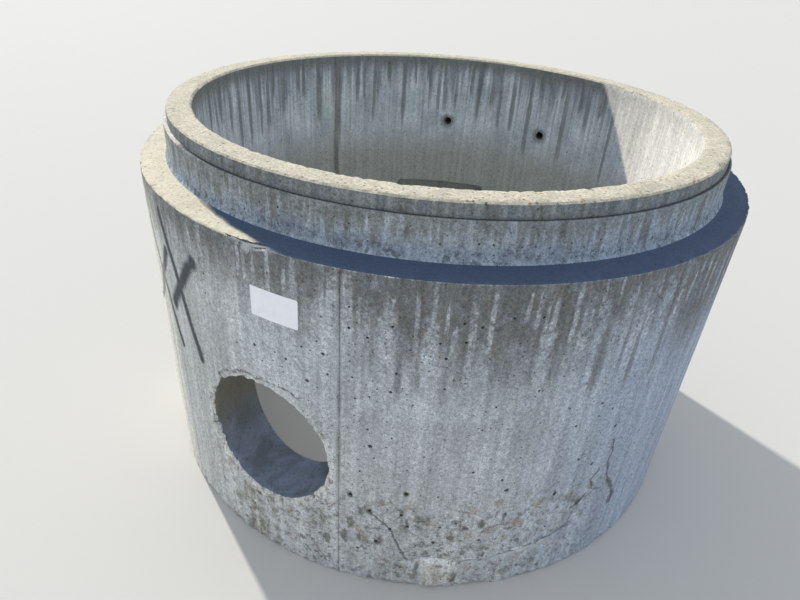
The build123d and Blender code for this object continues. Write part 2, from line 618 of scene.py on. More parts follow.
for turn in (-SEAM_HALF_WIDTH, SEAM_HALF_WIDTH, 0):
    seam_faces = [
        face
        for face in cast.faces
        if face.material_index == FINISHES.index("outer_face")
        and near_angle(face.calc_center_median(), SEAM_ANGLE, 6)
    ]
    across = math.radians(SEAM_ANGLE + turn)
    seam_edges = {edge for face in seam_faces for edge in face.edges}
    seam_verts = {vert for face in seam_faces for vert in face.verts}
    cut = bmesh.ops.bisect_plane(
        cast,
        geom=seam_faces + list(seam_edges) + list(seam_verts),
        dist=1e-5,
        plane_co=(0, 0, 0),
        plane_no=(-math.sin(across), math.cos(across), 0),
    )["geom_cut"]
for vert in {item for item in cut if isinstance(item, bmesh.types.BMVert)}:
    push(vert, -SEAM_DEPTH * (0.8 + 0.6 * noise.noise(vert.co / 0.03)))
    vert[hollow] = 0.75


# The worn lip over the pipe opening: the drum was pulled out early, so the skin above it cracked
# along an arc and settled, and the edge on its left side crumbled.
LIP = [(55, 0.0), (57, 0.1852), (65, 0.1826), (76, 0.1761), (86, 0.172), (96, 0.1707)]
LIP += [(108, 0.1713), (123, 0.1724), (136, 0.1694), (140, 0.0)]
LIP_STEP = 0.0013
CRUMBLE_REACH = 0.03
CRUMBLE_DEPTH = 0.024

split_patch(
    lambda c: 0.7 < c.dot(pipe_out)
    and PIPE_RADIUS + 0.003
    < math.hypot(c.dot(pipe_side), c.z - PIPE_Z)
    < PIPE_RADIUS + 0.036
)
for vert in cast.verts:
    co = vert.co
    side, rise = co.dot(pipe_side), co.z - PIPE_Z
    reach = math.hypot(side, rise)
    if co.dot(pipe_out) < OUTSIDE - 0.03 or reach > 0.19:
        continue
    turn = math.degrees(math.atan2(rise, side))
    if PIPE_RADIUS + 0.0004 < reach < along_path(LIP, turn) - 0.001:
        push(vert, -LIP_STEP * (0.8 + 0.5 * noise.noise(co / 0.02)))
        vert[broken] = max(vert[broken], 0.45 + 0.5 * noise.noise(co / 0.009))
    crumbled = 1.0 if abs(turned(turn, 150)) < 70 else 0.5
    if reach < PIPE_RADIUS + CRUMBLE_REACH:
        sunk = (OUTSIDE - math.hypot(co.x, co.y)) / CRUMBLE_DEPTH
        fade = max(0.0, 1 - sunk) * (1 - abs(reach - PIPE_RADIUS) / CRUMBLE_REACH)
        bite = crumbled * fade * max(0.0, 0.003 + 0.009 * noise.noise(co / 0.016))
        keep = math.hypot(co.x, co.y)
        away = pipe_side * side + Vector((0, 0, rise))
        vert.co = co + away.normalized() * bite
        if keep > OUTSIDE - 0.004:
            grown = keep / math.hypot(vert.co.x, vert.co.y)
            vert.co.x, vert.co.y = vert.co.x * grown, vert.co.y * grown
    if PIPE_RADIUS + 0.0004 < reach < PIPE_RADIUS + 0.014:
        push(vert, -crumbled * tear(co, 0.009, 0.006))


# Mortar and flakes low in the wall: a handful of mortar set hard against the face, and beside it
# the thin skin has lifted and flaked along a line, with its edge standing up.
LUMP = [(-69.9, 0.058), (-69.8, 0.087), (-68.7, 0.106), (-66.4, 0.104), (-64.3, 0.093)]
LUMP += [(-62.9, 0.078), (-63.2, 0.048), (-64.4, 0.015), (-67.5, 0.0075), (-69.8, 0.009)]
LUMP_HEIGHT = 0.0095
FLAKES = [(-63.5, 0.086), (-62.0, 0.095), (-59.4, 0.093), (-57.1, 0.104), (-54.1, 0.111)]
FLAKES += [(-51.3, 0.114), (-49.4, 0.121), (-46.5, 0.130)]
FLAKE_STEP = 0.0017
FLAKE_FALL = 0.03


def inside_outline(outline_points, angle, z):
    """How far inside a convex outline on the wall a point is, in metres."""
    gaps = []
    for (a, a_z), (b, b_z) in zip(outline_points, outline_points[1:] + outline_points[:1]):
        run, rise = math.radians(b - a) * OUTSIDE, b_z - a_z
        over, above = math.radians(angle - a) * OUTSIDE, z - a_z
        gaps.append((over * rise - above * run) / math.hypot(run, rise))
    return min(gaps)


def smooth_step(value):
    """An ease from 0 to 1."""
    value = min(1.0, max(0.0, value))
    return value * value * (3 - 2 * value)


split_patch(wall_patch(-66.5, 4.6, 0.004, 0.118))
split_patch(wall_patch(-66.5, 4.2, 0.004, 0.114))
split_patch(wall_patch(-55.0, 7.0, 0.070, 0.142))
split_patch(wall_patch(-56.0, 6.5, 0.078, 0.130))
for vert in cast.verts:
    co = vert.co
    angle = angle_of(co)
    if not (math.hypot(co.x, co.y) > 0.72 and -72 < angle < -46 and co.z < 0.15):
        continue
    depth_inside = inside_outline(LUMP, angle, co.z)
    if depth_inside > 0:
        share = smooth_step(depth_inside / 0.008)
        uneven = 0.85 + 0.35 * noise.noise(co / 0.02) + 0.15 * noise.noise(co / 0.006)
        push(vert, LUMP_HEIGHT * share * uneven)
        vert[mortar] = smooth_step(depth_inside / 0.003)
    line = along_path(FLAKES, angle)
    under = line + 0.004 * noise.noise(co / 0.012) - co.z
    if line and -0.004 < under < FLAKE_FALL:
        lifted = 0.0011 * smooth_step(1 - abs(under + 0.0015) / 0.004)
        fallen = smooth_step(under / 0.003)
        sunk = FLAKE_STEP * fallen * smooth_step((FLAKE_FALL - under) / 0.022)
        push(vert, lifted - sunk)
        vert[broken] = max(vert[broken], fallen * (FLAKE_FALL - under) / FLAKE_FALL)


# Air holes: bubbles of air that stayed against the steel, and opened as pits when it came off.
# A point of the wall is dissolved, and the face that this leaves is inset and pressed in. The
# near ones are listed by angle, height and radius, the rest by count and ranges of the same.
NEAR_HOLES = [
    (-115.1, 0.330, 0.0030), (-108.3, 0.696, 0.0028), (-102.1, 0.574, 0.0024),
    (-100.0, 0.529, 0.0022), (-98.4, 0.589, 0.0038), (-97.1, 0.558, 0.0020), (-94.6, 0.591, 0.0024),
    (-92.7, 0.585, 0.0034), (-90.0, 0.625, 0.0024), (-89.3, 0.549, 0.0040), (-89.1, 0.502, 0.0020),
    (-87.6, 0.646, 0.0022), (-86.7, 0.622, 0.0038), (-86.0, 0.578, 0.0026), (-82.9, 0.733, 0.0024),
    (-82.9, 0.691, 0.0030), (-82.3, 0.671, 0.0032), (-82.3, 0.585, 0.0022), (-82.2, 0.275, 0.0048),
    (-81.9, 0.741, 0.0020), (-81.9, 0.695, 0.0034), (-81.8, 0.537, 0.0024), (-81.4, 0.599, 0.0022),
    (-80.8, 0.349, 0.0026), (-80.8, 0.106, 0.0042), (-80.6, 0.299, 0.0024), (-80.4, 0.567, 0.0032),
    (-80.3, 0.678, 0.0024), (-79.8, 0.466, 0.0028), (-79.7, 0.547, 0.0028), (-79.3, 0.423, 0.0046),
    (-78.9, 0.237, 0.0044), (-77.6, 0.142, 0.0050), (-77.0, 0.708, 0.0028), (-76.7, 0.566, 0.0036),
    (-76.1, 0.610, 0.0028), (-76.1, 0.454, 0.0026), (-75.9, 0.705, 0.0024), (-75.4, 0.190, 0.0040),
    (-74.3, 0.623, 0.0026), (-73.7, 0.238, 0.0042), (-73.2, 0.305, 0.0054), (-72.5, 0.204, 0.0042),
    (-71.8, 0.256, 0.0036), (-70.6, 0.684, 0.0024), (-69.7, 0.280, 0.0028), (-69.6, 0.653, 0.0030),
    (-69.3, 0.586, 0.0024), (-68.2, 0.304, 0.0030), (-68.0, 0.157, 0.0038), (-67.8, 0.727, 0.0028),
    (-67.5, 0.573, 0.0022), (-67.2, 0.689, 0.0028), (-67.2, 0.209, 0.0042), (-66.7, 0.130, 0.0034),
    (-65.4, 0.721, 0.0032), (-64.7, 0.223, 0.0040), (-63.7, 0.493, 0.0024), (-63.3, 0.376, 0.0034),
    (-63.0, 0.206, 0.0042), (-62.7, 0.124, 0.0042), (-62.4, 0.317, 0.0024), (-61.6, 0.545, 0.0024),
    (-61.4, 0.739, 0.0022), (-60.3, 0.164, 0.0034), (-58.8, 0.159, 0.0030), (-58.4, 0.349, 0.0038),
    (-57.4, 0.739, 0.0028), (-57.3, 0.317, 0.0050), (-56.5, 0.242, 0.0034), (-56.2, 0.371, 0.0030),
    (-55.7, 0.578, 0.0024), (-53.2, 0.142, 0.0042), (-49.8, 0.521, 0.0028), (-48.1, 0.277, 0.0046),
    (-48.2, 0.170, 0.0036), (-47.8, 0.031, 0.0028), (-47.7, 0.469, 0.0028), (-45.2, 0.367, 0.0036),
    (-43.8, 0.514, 0.0036), (-43.7, 0.481, 0.0026), (-43.7, 0.341, 0.0030), (-41.8, 0.337, 0.0052),
    (-41.7, 0.690, 0.0024), (-41.1, 0.489, 0.0038), (-39.0, 0.432, 0.0044), (-37.7, 0.046, 0.0036),
    (-31.4, 0.208, 0.0032), (-28.8, 0.150, 0.0028), (-24.7, 0.313, 0.0030),
]
OTHER_HOLES = [
    ("outer_face", 36, (-130, -22), (0.05, 0.77), (0.0011, 0.0021)),
    ("outer_face", 150, (-20, 228), (0.03, 0.77), (0.0013, 0.0046)),
    ("inner_face", 110, (0, 360), (0.05, 0.87), (0.0014, 0.0042)),
    ("spigot_face", 70, (0, 360), (0.822, 0.876), (0.0011, 0.0026)),
]
random.seed(11)
holes = [("outer_face", angle, z, radius) for angle, z, radius in NEAR_HOLES]
for finish, count, angles, heights, radii in OTHER_HOLES:
    for hole in range(count):
        radius = radii[0] + (radii[1] - radii[0]) * random.random() ** 2.2
        holes.append((finish, random.uniform(*angles), random.uniform(*heights), radius))

free_points = {finish: [] for finish in ("outer_face", "inner_face", "spigot_face")}
for vert in cast.verts:
    if len(vert.link_faces) == 4 and all(len(face.verts) == 4 for face in vert.link_faces):
        finishes = {FINISHES[face.material_index] for face in vert.link_faces}
        if len(finishes) == 1 and finishes <= set(free_points):
            free_points[finishes.pop()].append(vert)
trees = {}
for finish, verts in free_points.items():
    trees[finish] = KDTree(len(verts))
    for place, vert in enumerate(verts):
        trees[finish].insert(vert.co, place)
    trees[finish].balance()


def flat_place(co, angle):
    """A point's place on the unrolled wall, from the upright line at an angle."""
    return Vector((math.radians(turned(angle_of(co), angle)) * math.hypot(co.x, co.y), co.z))


taken = set()
opened = []
for finish, angle, z, radius in holes:
    turn = math.radians(angle)
    wall_radius = {"outer_face": OUTSIDE, "inner_face": BORE, "spigot_face": SPIGOT}[finish]
    target = Vector((wall_radius * math.cos(turn), wall_radius * math.sin(turn), z))
    for co, place, gap in trees[finish].find_n(target, 4):
        middle = free_points[finish][place]
        ring = {vert for face in middle.link_faces for vert in face.verts} - {middle}
        room = [flat_place(vert.co, angle) - Vector((0, z)) for vert in ring]
        half_width = min(max(p.x for p in room), -min(p.x for p in room))
        half_height = min(max(p.y for p in room), -min(p.y for p in room))
        fits = 0.85 * min(half_width, half_height)
        if fits > 0.6 * radius and fits > 0.0011 and not taken & (ring | {middle}):
            taken |= ring | {middle}
            opened.append((middle, ring, finish, angle, z, min(radius, fits)))
            break
bmesh.ops.dissolve_verts(cast, verts=[middle for middle, *rest in opened])
pits = []
for middle, ring, finish, angle, z, radius in opened:
    face = next(f for f in next(iter(ring)).link_faces if set(f.verts) == ring)
    depth = radius * random.uniform(0.8, 1.4) * (-1 if finish != "inner_face" else 1)
    pits.append((face, angle, z, radius, depth, random.uniform(0.85, 1.2), random.random() * 50))
# Each ring's darkening of the pit is painted shade and dirt
for reach, sunk, darkening in ((1.0, 0.0, 0.0), (0.88, 0.55, 0.9), (0.5, 1.0, 1.0)):
    bmesh.ops.inset_individual(
        cast, faces=[pit[0] for pit in pits], thickness=0.0002, depth=0, use_even_offset=True
    )
    for face, angle, z, radius, depth, stretch, seed in pits:
        places = [flat_place(vert.co, angle) - Vector((0, z)) for vert in face.verts]
        bearings = [math.atan2(p.y, p.x) for p in places]
        if sunk == 0:
            order = 1 if math.sin(bearings[1] - bearings[0]) > 0 else -1
            step = order * 2 * math.pi / len(places)
            wheel = [b - i * step for i, b in enumerate(bearings)]
            first = math.atan2(sum(map(math.sin, wheel)), sum(map(math.cos, wheel)))
            bearings = [first + i * step for i in range(len(places))]
            level = sum(math.hypot(v.co.x, v.co.y) for v in face.verts) / len(places)
        else:
            level = None
        for vert, bearing in zip(face.verts, bearings):
            uneven = noise.noise((math.cos(bearing) * 1.3, math.sin(bearing) * 1.3, seed))
            spread = radius * reach * (1 + 0.3 * uneven)
            own_level = level or math.hypot(vert.co.x, vert.co.y)
            turn = math.radians(angle) + spread * stretch * math.cos(bearing) / own_level
            pressed = own_level + (depth * 0.55 if sunk else 0.0)
            height = z + spread * math.sin(bearing)
            vert.co = (pressed * math.cos(turn), pressed * math.sin(turn), height)
            vert[hollow] = darkening


def put_in_scene(name, data):
    """Adds an object that shows this mesh, lamp or camera."""
    made = bpy.data.objects.new(name, data)
    bpy.context.scene.collection.objects.link(made)
    return made


bmesh.ops.recalc_face_normals(cast, faces=cast.faces)
piece_mesh = bpy.data.meshes.new("cast_wall")
for face in cast.faces:
    face.smooth = True
cast.to_mesh(piece_mesh)
cast.free()
piece_mesh.set_sharp_from_angle(angle=math.radians(38))
wall = put_in_scene("cast_wall", piece_mesh)
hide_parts("manhole_section")
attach(wall, "root")


def ink(colour):
    """A written sRGB colour as the linear one that a shader takes."""
    parts = [int(colour[place : place + 2], 16) / 255 for place in (1, 3, 5)]
    linear = [c / 12.92 if c <= 0.04045 else ((c + 0.055) / 1.055) ** 2.4 for c in parts]
    return (*linear, 1.0)


def join(tree, node, sockets):
    """Sets or links a node's sockets, each given by its name or number."""
    usable = [socket for socket in node.inputs if socket.enabled]
    for name, value in sockets.items():
        if isinstance(name, int):
            socket = usable[name]
        else:
            socket = next(found for found in usable if found.name == name)
        if isinstance(value, bpy.types.Node):
            value = next(output for output in value.outputs if output.enabled)
        if isinstance(value, bpy.types.NodeSocket):
            tree.links.new(value, socket)
        else:
            socket.default_value = value


def add(tree, kind, sockets, **settings):
    """Adds a node with its settings, and sets or links its sockets."""
    made = tree.nodes.new("ShaderNode" + kind)
    for name, value in settings.items():
        setattr(made, name, value)
    join(tree, made, sockets)
    return made


def start_material(mesh, name):
    """Gives a mesh its next material, and returns the material's tree."""
    material = bpy.data.materials.new(name)
    material.use_nodes = True
    mesh.materials.append(material)
    return material.node_tree


# Matt grey concrete, cast against oiled steel: a smooth skin, clouded in patches of 30 to 110 mm,
# with a sandy grit and a 2.5 mm grain, both drawn coarser than real sand so that they show.
# Each finish of the casting starts from these patterns and gets its own marks on top.
def start_finish(name, facing, radius):
    """A finish's tree, place, way around from an angle, height, noises and two wobbled places."""
    tree = start_material(piece_mesh, name)
    place = add(tree, "TexCoord", {}).outputs["Object"]
    faced = add(tree, "Mapping", {"Vector": place, "Rotation": (0, 0, -math.radians(facing))})
    parts = add(tree, "SeparateXYZ", {0: faced})
    turn = add(tree, "Math", {0: parts.outputs["Y"], 1: parts.outputs["X"]}, operation="ARCTAN2")
    around = add(tree, "Math", {0: turn, 1: radius}, operation="MULTIPLY")
    height = parts.outputs["Z"]
    noises = []
    for stretch, scale, detail, roughness in (
        (1, 9, 4, 0.6),  # clouds of 110 mm
        (1, 32, 4, 0.6),  # patches of 30 mm
        (1, 400, 2, 0.5),  # grain of 2.5 mm
        (1, 150, 4, 0.75),  # sandy grit, in clumps of 7 mm
        (0.045, 75, 3, 0.5),  # upright streaks, 13 mm wide
        (0.03, 26, 3, 0.5),  # upright columns, 40 mm wide
        (0.8, 70, 5, 0.7),  # pitted spots of 14 mm
    ):
        drawn = add(tree, "Mapping", {"Vector": place, "Scale": (1, 1, stretch)})
        pattern = {"Vector": drawn, "Scale": scale, "Detail": detail, "Roughness": roughness}
        noises.append(add(tree, "TexNoise", pattern))
    flat = add(tree, "CombineXYZ", {0: around, 1: height})
    wobbled = []
    for stretch, scale, sway, lift in ((0.2, 60, 0.012, 0.16), (1, 48, 0.02, 0.02)):
        drawn = add(tree, "Mapping", {"Vector": place, "Scale": (1, 1, stretch)})
        waves = {"Vector": drawn, "Scale": scale, "Detail": 3, "Roughness": 0.6}
        waves = add(tree, "TexNoise", waves).outputs["Color"]
        middled = {0: waves, 1: (0.5, 0.5, 0.5)}
        middled = add(tree, "VectorMath", middled, operation="SUBTRACT")
        moved = {0: middled, 1: (sway, lift, 0), 2: flat}
        wobbled.append(add(tree, "VectorMath", moved, operation="MULTIPLY_ADD"))
    return tree, place, around, height, noises, *wobbled


def lay_path(curve, path):
    """Makes a curve follow a path of straight runs."""
    curve.mapping.use_clip = False
    points = curve.mapping.curves[0].points
    for number, spot in enumerate(sorted(path)):
        if number < 2:
            points[number].location = spot
        else:
            points.new(*spot)
    for point in points:
        point.handle_type = "VECTOR"
    curve.mapping.update()


def across(angle, facing, radius):
    """How far around a wall of this radius an angle is from the faced one."""
    return math.radians(turned(angle, facing)) * radius


def traced(tree, along, beside, path, half_width, soft=0.6):
    """How fully a point lies on a traced line: 1 along its middle, 0 beyond its half width."""
    first, last = min(path)[0], max(path)[0]
    line = add(tree, "FloatCurve", {"Value": along})
    lay_path(line, path)
    off = add(tree, "Math", {0: beside, 1: line}, operation="SUBTRACT")
    off = add(tree, "Math", {0: off}, operation="ABSOLUTE")
    edge = {"Value": off, "From Min": half_width, "From Max": half_width * (1 - soft)}
    near = add(tree, "MapRange", edge, interpolation_type="SMOOTHSTEP")
    inside = {0: along, 1: (first + last) / 2, 2: (last - first) / 2}
    inside = add(tree, "Math", inside, operation="COMPARE")
    return add(tree, "Math", {0: near, 1: inside}, operation="MULTIPLY")


def marked(tree, spot, facing, radius, marks, soft=0.6, blunt=False):
    """How fully a point lies in a mark, oval or blunt: angle, height, half width and height."""
    nearest = 9.0
    for angle, z, half_width, half_height in marks:
        gap = {
            0: spot,
            1: (1 / half_width, 1 / half_height, 0),
            2: (-across(angle, facing, radius) / half_width, -z / half_height, 0),
        }
        gap = add(tree, "VectorMath", gap, operation="MULTIPLY_ADD")
        if blunt:
            gap = add(tree, "VectorMath", {0: gap, 1: gap}, operation="MULTIPLY")
        gap = add(tree, "VectorMath", {0: gap}, operation="LENGTH")
        nearest = add(tree, "Math", {0: nearest, 1: gap}, operation="MINIMUM")
    edge = {"Value": nearest, "From Min": 1.0, "From Max": 1.0 - soft}
    return add(tree, "MapRange", edge, interpolation_type="SMOOTHSTEP")


def runs(listed, radius, spread=1.4):
    """Upright runs, each listed by angle, top, foot and half width in degrees, as blunt marks."""
    return [
        (angle, (top + foot) / 2, math.radians(half) * radius * spread, (top - foot) / 2 + 0.01)
        for angle, top, foot, half in listed
    ]


def hanging(tree, place, depth, streak, width, shortest, longest, shift):
    """Runs that hang from an edge: 1 inside them. They are about as wide as width, in metres."""
    upright = add(tree, "Mapping", {"Vector": place, "Location": (shift, 0, 0), "Scale": (1, 1, 0)})
    waves = add(tree, "TexNoise", {"Vector": upright, "Scale": 1 / width, "Detail": 3})
    length = {"Value": waves, "From Min": 0.36, "From Max": 0.66}
    length = add(tree, "MapRange", length | {"To Min": shortest, "To Max": longest})
    past = add(tree, "Math", {0: depth, 1: length}, operation="SUBTRACT")
    frayed = {"Value": streak, "From Min": 0.3, "From Max": 0.7}
    frayed = add(tree, "MapRange", frayed | {"To Min": -0.3 * longest, "To Max": 0.3 * longest})
    past = add(tree, "Math", {0: past, 1: frayed}, operation="ADD")
    ends = {"Value": past, "From Min": 0.4 * longest, "From Max": -0.3 * longest}
    return add(tree, "MapRange", ends, interpolation_type="SMOOTHSTEP")


def shown_where(tree, *limits, within=1.0):
    """How fully a place meets every limit: a value, where it starts and where it is full."""
    shown = within
    for value, start, full in limits:
        met = {"Value": value, "From Min": start, "From Max": full}
        met = add(tree, "MapRange", met, interpolation_type="SMOOTHSTEP")
        shown = add(tree, "Math", {0: shown, 1: met}, operation="MULTIPLY")
    return shown


def stained(tree, skin, stains):
    """Lays stains over a skin, each given by how fully it shows, its strength and its colour."""
    for shown, strength, colour in stains:
        shown = add(tree, "Math", {0: shown, 1: strength}, operation="MULTIPLY")
        skin = add(tree, "Mix", {"Factor": shown, "A": skin, "B": ink(colour)}, data_type="RGBA")
    return skin


def clouded(tree, pattern, dark, pale):
    """A skin that goes from one colour to another with a noise."""
    share = add(tree, "MapRange", {"Value": pattern, "From Min": 0.37, "From Max": 0.63})
    skin = {"Factor": share, "A": ink(dark), "B": ink(pale)}
    return add(tree, "Mix", skin, data_type="RGBA")


def way_to(angle):
    """The level way from the axis to an angle. How far a place lies along it has no seam behind."""
    return (math.cos(math.radians(angle)), math.sin(math.radians(angle)), 0)


def product(tree, levels):
    """The product of noises, each spread over its own range of levels."""
    result = 1.0
    for pattern, low, high in levels:
        level = {"Value": pattern, "From Min": 0.35, "From Max": 0.65}
        level = add(tree, "MapRange", level | {"To Min": low, "To Max": high})
        result = add(tree, "Math", {0: result, 1: level}, operation="MULTIPLY")
    return result


def end_finish(tree, place, colour, light, roughness, relief):
    """Adds pores, shade and dirt painted in holes, fresh breaks, and joins colour, roughness and
    relief.
    """
    # Pores up to 2 mm wide, one in three of the cells of 10 mm that a skin is divided in; pores and
    # holes are darkened with painted shade and dirt
    pore = add(tree, "TexVoronoi", {"Vector": place, "Scale": 95})
    few = add(tree, "SeparateColor", {0: pore.outputs["Color"]})
    chosen = add(tree, "Math", {0: few, 1: 0.68}, operation="GREATER_THAN")
    dot = shown_where(tree, (pore.outputs["Distance"], 0.22, 0.1), within=chosen)
    holes_shade_and_dirt = add(tree, "Attribute", {}, attribute_name="hollow").outputs["Fac"]
    dark = add(tree, "Math", {0: dot, 1: holes_shade_and_dirt}, operation="MAXIMUM")
    fresh = add(tree, "Attribute", {}, attribute_name="broken").outputs["Fac"]
    tone = add(tree, "HueSaturation", {"Color": colour, "Value": light})
    tone = stained(tree, tone, [(fresh, 0.9, "#c3c7ca"), (dark, 0.8, "#33352f")])
    relief = add(tree, "Math", {0: dot, 1: -0.6, 2: relief}, operation="MULTIPLY_ADD")
    bump = add(tree, "Bump", {"Height": relief, "Distance": 0.001})
    ends = {"Base Color": tone, "Roughness": roughness, "Normal": bump}
    join(tree, tree.nodes["Principled BSDF"], ends)


# The outer face, cast against the outer mould and weathered for years: a grey band of dirt under
# the shoulder that runs down in streaks, pale runs of lime between them, and a cleaner wall low
# down. Over it lie two crosses sprayed in thin grey paint, cracks, and a pitted, tan foot.
DIRT_TO = [
    (-264, 0.67), (-150, 0.69), (-124, 0.74), (-105, 0.71), (-86, 0.69), (-80, 0.66),
    (-72, 0.62), (-58, 0.62), (-50, 0.65), (-44, 0.69), (-36, 0.68), (-30, 0.60),
    (-22, 0.61), (0, 0.66), (95, 0.67),
]
LIME_RUNS = [
    (-117.0, 0.776, 0.641, 0.6), (-115.4, 0.796, 0.700, 0.45), (-111.2, 0.776, 0.720, 0.3),
    (-108.4, 0.798, 0.590, 0.45), (-100.3, 0.790, 0.740, 0.25), (-99.2, 0.795, 0.725, 0.35),
    (-97.5, 0.790, 0.740, 0.25), (-95.1, 0.793, 0.720, 0.35), (-92.4, 0.797, 0.725, 0.25),
    (-91.0, 0.785, 0.715, 0.45), (-87.3, 0.765, 0.560, 0.7), (-85.2, 0.806, 0.560, 0.8),
    (-83.3, 0.806, 0.600, 0.8), (-81.6, 0.745, 0.640, 0.3), (-80.4, 0.745, 0.660, 0.35),
    (-78.0, 0.770, 0.520, 1.2), (-77.0, 0.770, 0.740, 0.2), (-73.9, 0.782, 0.640, 0.3),
    (-71.8, 0.796, 0.700, 0.35), (-72.0, 0.740, 0.580, 1.1), (-70.0, 0.760, 0.700, 0.25),
    (-68.9, 0.715, 0.655, 0.35), (-66.6, 0.777, 0.560, 0.4), (-64.2, 0.790, 0.630, 0.35),
    (-64.3, 0.680, 0.520, 1.0), (-59.7, 0.783, 0.745, 0.25), (-58.1, 0.772, 0.700, 0.3),
    (-56.9, 0.778, 0.690, 0.25), (-55.8, 0.797, 0.690, 0.3), (-56.2, 0.745, 0.560, 1.0),
    (-52.8, 0.797, 0.680, 0.35), (-51.0, 0.803, 0.540, 0.75), (-49.1, 0.788, 0.700, 0.25),
    (-48.3, 0.790, 0.540, 0.65), (-46.5, 0.793, 0.755, 0.25), (-44.6, 0.790, 0.520, 1.1),
    (-43.5, 0.785, 0.740, 0.2), (-41.6, 0.793, 0.540, 0.65), (-39.5, 0.790, 0.600, 0.5),
    (-36.9, 0.793, 0.560, 1.3), (-33.8, 0.790, 0.640, 0.45), (-31.2, 0.750, 0.700, 0.45),
    (-29.5, 0.772, 0.740, 0.3), (-27.2, 0.775, 0.690, 0.35), (-25.0, 0.775, 0.690, 0.4),
    (-20.3, 0.780, 0.640, 0.8), (-17.0, 0.780, 0.660, 0.6),
]
DIRT_RUNS = [
    (-79.7, 0.74, 0.59, 0.4), (-76.1, 0.76, 0.60, 0.7), (-75.8, 0.72, 0.53, 0.5),
    (-73.2, 0.73, 0.54, 0.4), (-67.7, 0.80, 0.56, 0.8),
    (-62.4, 0.79, 0.58, 1.2), (-54.2, 0.80, 0.56, 1.0), (-50.0, 0.79, 0.66, 0.4),
    (-47.0, 0.80, 0.53, 0.9), (-42.9, 0.79, 0.58, 0.4), (-40.5, 0.80, 0.51, 0.55),
    (-38.4, 0.78, 0.66, 0.35), (-34.9, 0.80, 0.53, 0.55), (-31.8, 0.80, 0.62, 1.0),
    (-28.4, 0.80, 0.62, 0.8), (-26.1, 0.80, 0.63, 0.5), (-23.3, 0.80, 0.51, 0.9),
    (-93.2, 0.78, 0.66, 0.6), (-96.2, 0.78, 0.70, 0.4), (-105.5, 0.79, 0.70, 0.6),
]
DRAIN_STAINS = [
    (-102.2, 0.09, 0.015, 0.12), (-100.3, 0.08, 0.014, 0.13), (-97.3, 0.14, 0.008, 0.06),
    (-103.9, 0.11, 0.010, 0.08), (-94.0, 0.165, 0.014, 0.02), (-98.9, 0.05, 0.007, 0.08),
]
TAN_SPOTS = [
    (-69.1, 0.222, 0.020, 0.014), (-62.4, 0.181, 0.014, 0.014), (-58.8, 0.195, 0.018, 0.016),
    (-53.9, 0.208, 0.018, 0.018), (-61.9, 0.262, 0.014, 0.014), (-58.2, 0.280, 0.012, 0.016),
    (-50.4, 0.262, 0.014, 0.016), (-44.8, 0.256, 0.018, 0.010), (-72.4, 0.267, 0.018, 0.012),
    (-77.0, 0.267, 0.010, 0.010), (-80.8, 0.172, 0.010, 0.014), (-79.6, 0.150, 0.009, 0.016),
    (-61.5, 0.070, 0.012, 0.020), (-52.4, 0.090, 0.012, 0.016), (-35.3, 0.235, 0.016, 0.010),
    (-40.4, 0.265, 0.010, 0.012), (-64.9, 0.165, 0.010, 0.018), (-56.0, 0.165, 0.010, 0.012),
]
# Dark spots, mostly dirt in the pitted foot; those to the right of the mortar and above it are
# painted shadow
DARK_SPOTS = [
    (-78.8, 0.233, 0.008, 0.010), (-73.8, 0.246, 0.006, 0.018), (-72.7, 0.215, 0.006, 0.018),
    (-65.0, 0.229, 0.009, 0.009), (-63.0, 0.206, 0.008, 0.008), (-65.2, 0.172, 0.010, 0.014),
    (-77.5, 0.141, 0.008, 0.010), (-53.4, 0.146, 0.008, 0.008), (-48.2, 0.280, 0.006, 0.012),
    (-62.8, 0.125, 0.009, 0.008), (-66.8, 0.132, 0.007, 0.007), (-85.7, 0.051, 0.006, 0.008),
    (-86.4, 0.114, 0.012, 0.020), (-47.9, 0.033, 0.007, 0.006), (-82.2, 0.276, 0.007, 0.011),
    (-73.3, 0.303, 0.007, 0.012), (-91.2, 0.082, 0.010, 0.010), (-88.6, 0.051, 0.007, 0.006),
    (-100.2, 0.160, 0.008, 0.008), (-60.4, 0.218, 0.008, 0.016), (-56.5, 0.235, 0.007, 0.016),
    (-42.5, 0.222, 0.010, 0.012), (-68.0, 0.159, 0.006, 0.008), (-70.5, 0.225, 0.012, 0.004),
    (-63.9, 0.045, 0.012, 0.036), (-66.9, 0.074, 0.008, 0.006), (-70.4, 0.060, 0.006, 0.035),
    (-67.9, 0.080, 0.006, 0.008), (-68.9, 0.112, 0.012, 0.004), (-66.4, 0.110, 0.012, 0.004),
    (-33.4, 0.170, 0.011, 0.026), (-69.3, 0.122, 0.012, 0.008), (-82.0, 0.190, 0.010, 0.020),
    (-83.2, 0.140, 0.007, 0.030),
]
# Pale marks: white edges of flaked and crumbled skin and a pale line on the shoulder's arris, with
# painted highlights along the mortar's top and left edges and on the flakes' lifted edges
PALE_FLAKES_AND_HIGHLIGHTS = [
    (-69.4, 0.101, 0.008, 0.008), (-63.9, 0.088, 0.006, 0.006), (-67.4, 0.103, 0.012, 0.005),
    (-68.3, 0.101, 0.013, 0.007), (-66.5, 0.097, 0.016, 0.007), (-65.2, 0.090, 0.012, 0.008),
    (-69.6, 0.078, 0.005, 0.028), (-70.0, 0.123, 0.010, 0.006), (-61.7, 0.101, 0.016, 0.006),
    (-60.6, 0.094, 0.011, 0.009), (-53.3, 0.113, 0.014, 0.007), (-51.4, 0.116, 0.016, 0.006),
    (-52.3, 0.106, 0.012, 0.010), (-49.7, 0.121, 0.012, 0.006), (-111.3, 0.325, 0.014, 0.030),
    (-110.6, 0.262, 0.014, 0.020), (-110.8, 0.388, 0.010, 0.025), (-108.0, 0.225, 0.016, 0.012),
    (-78.5, 0.8035, 0.045, 0.0018),
]

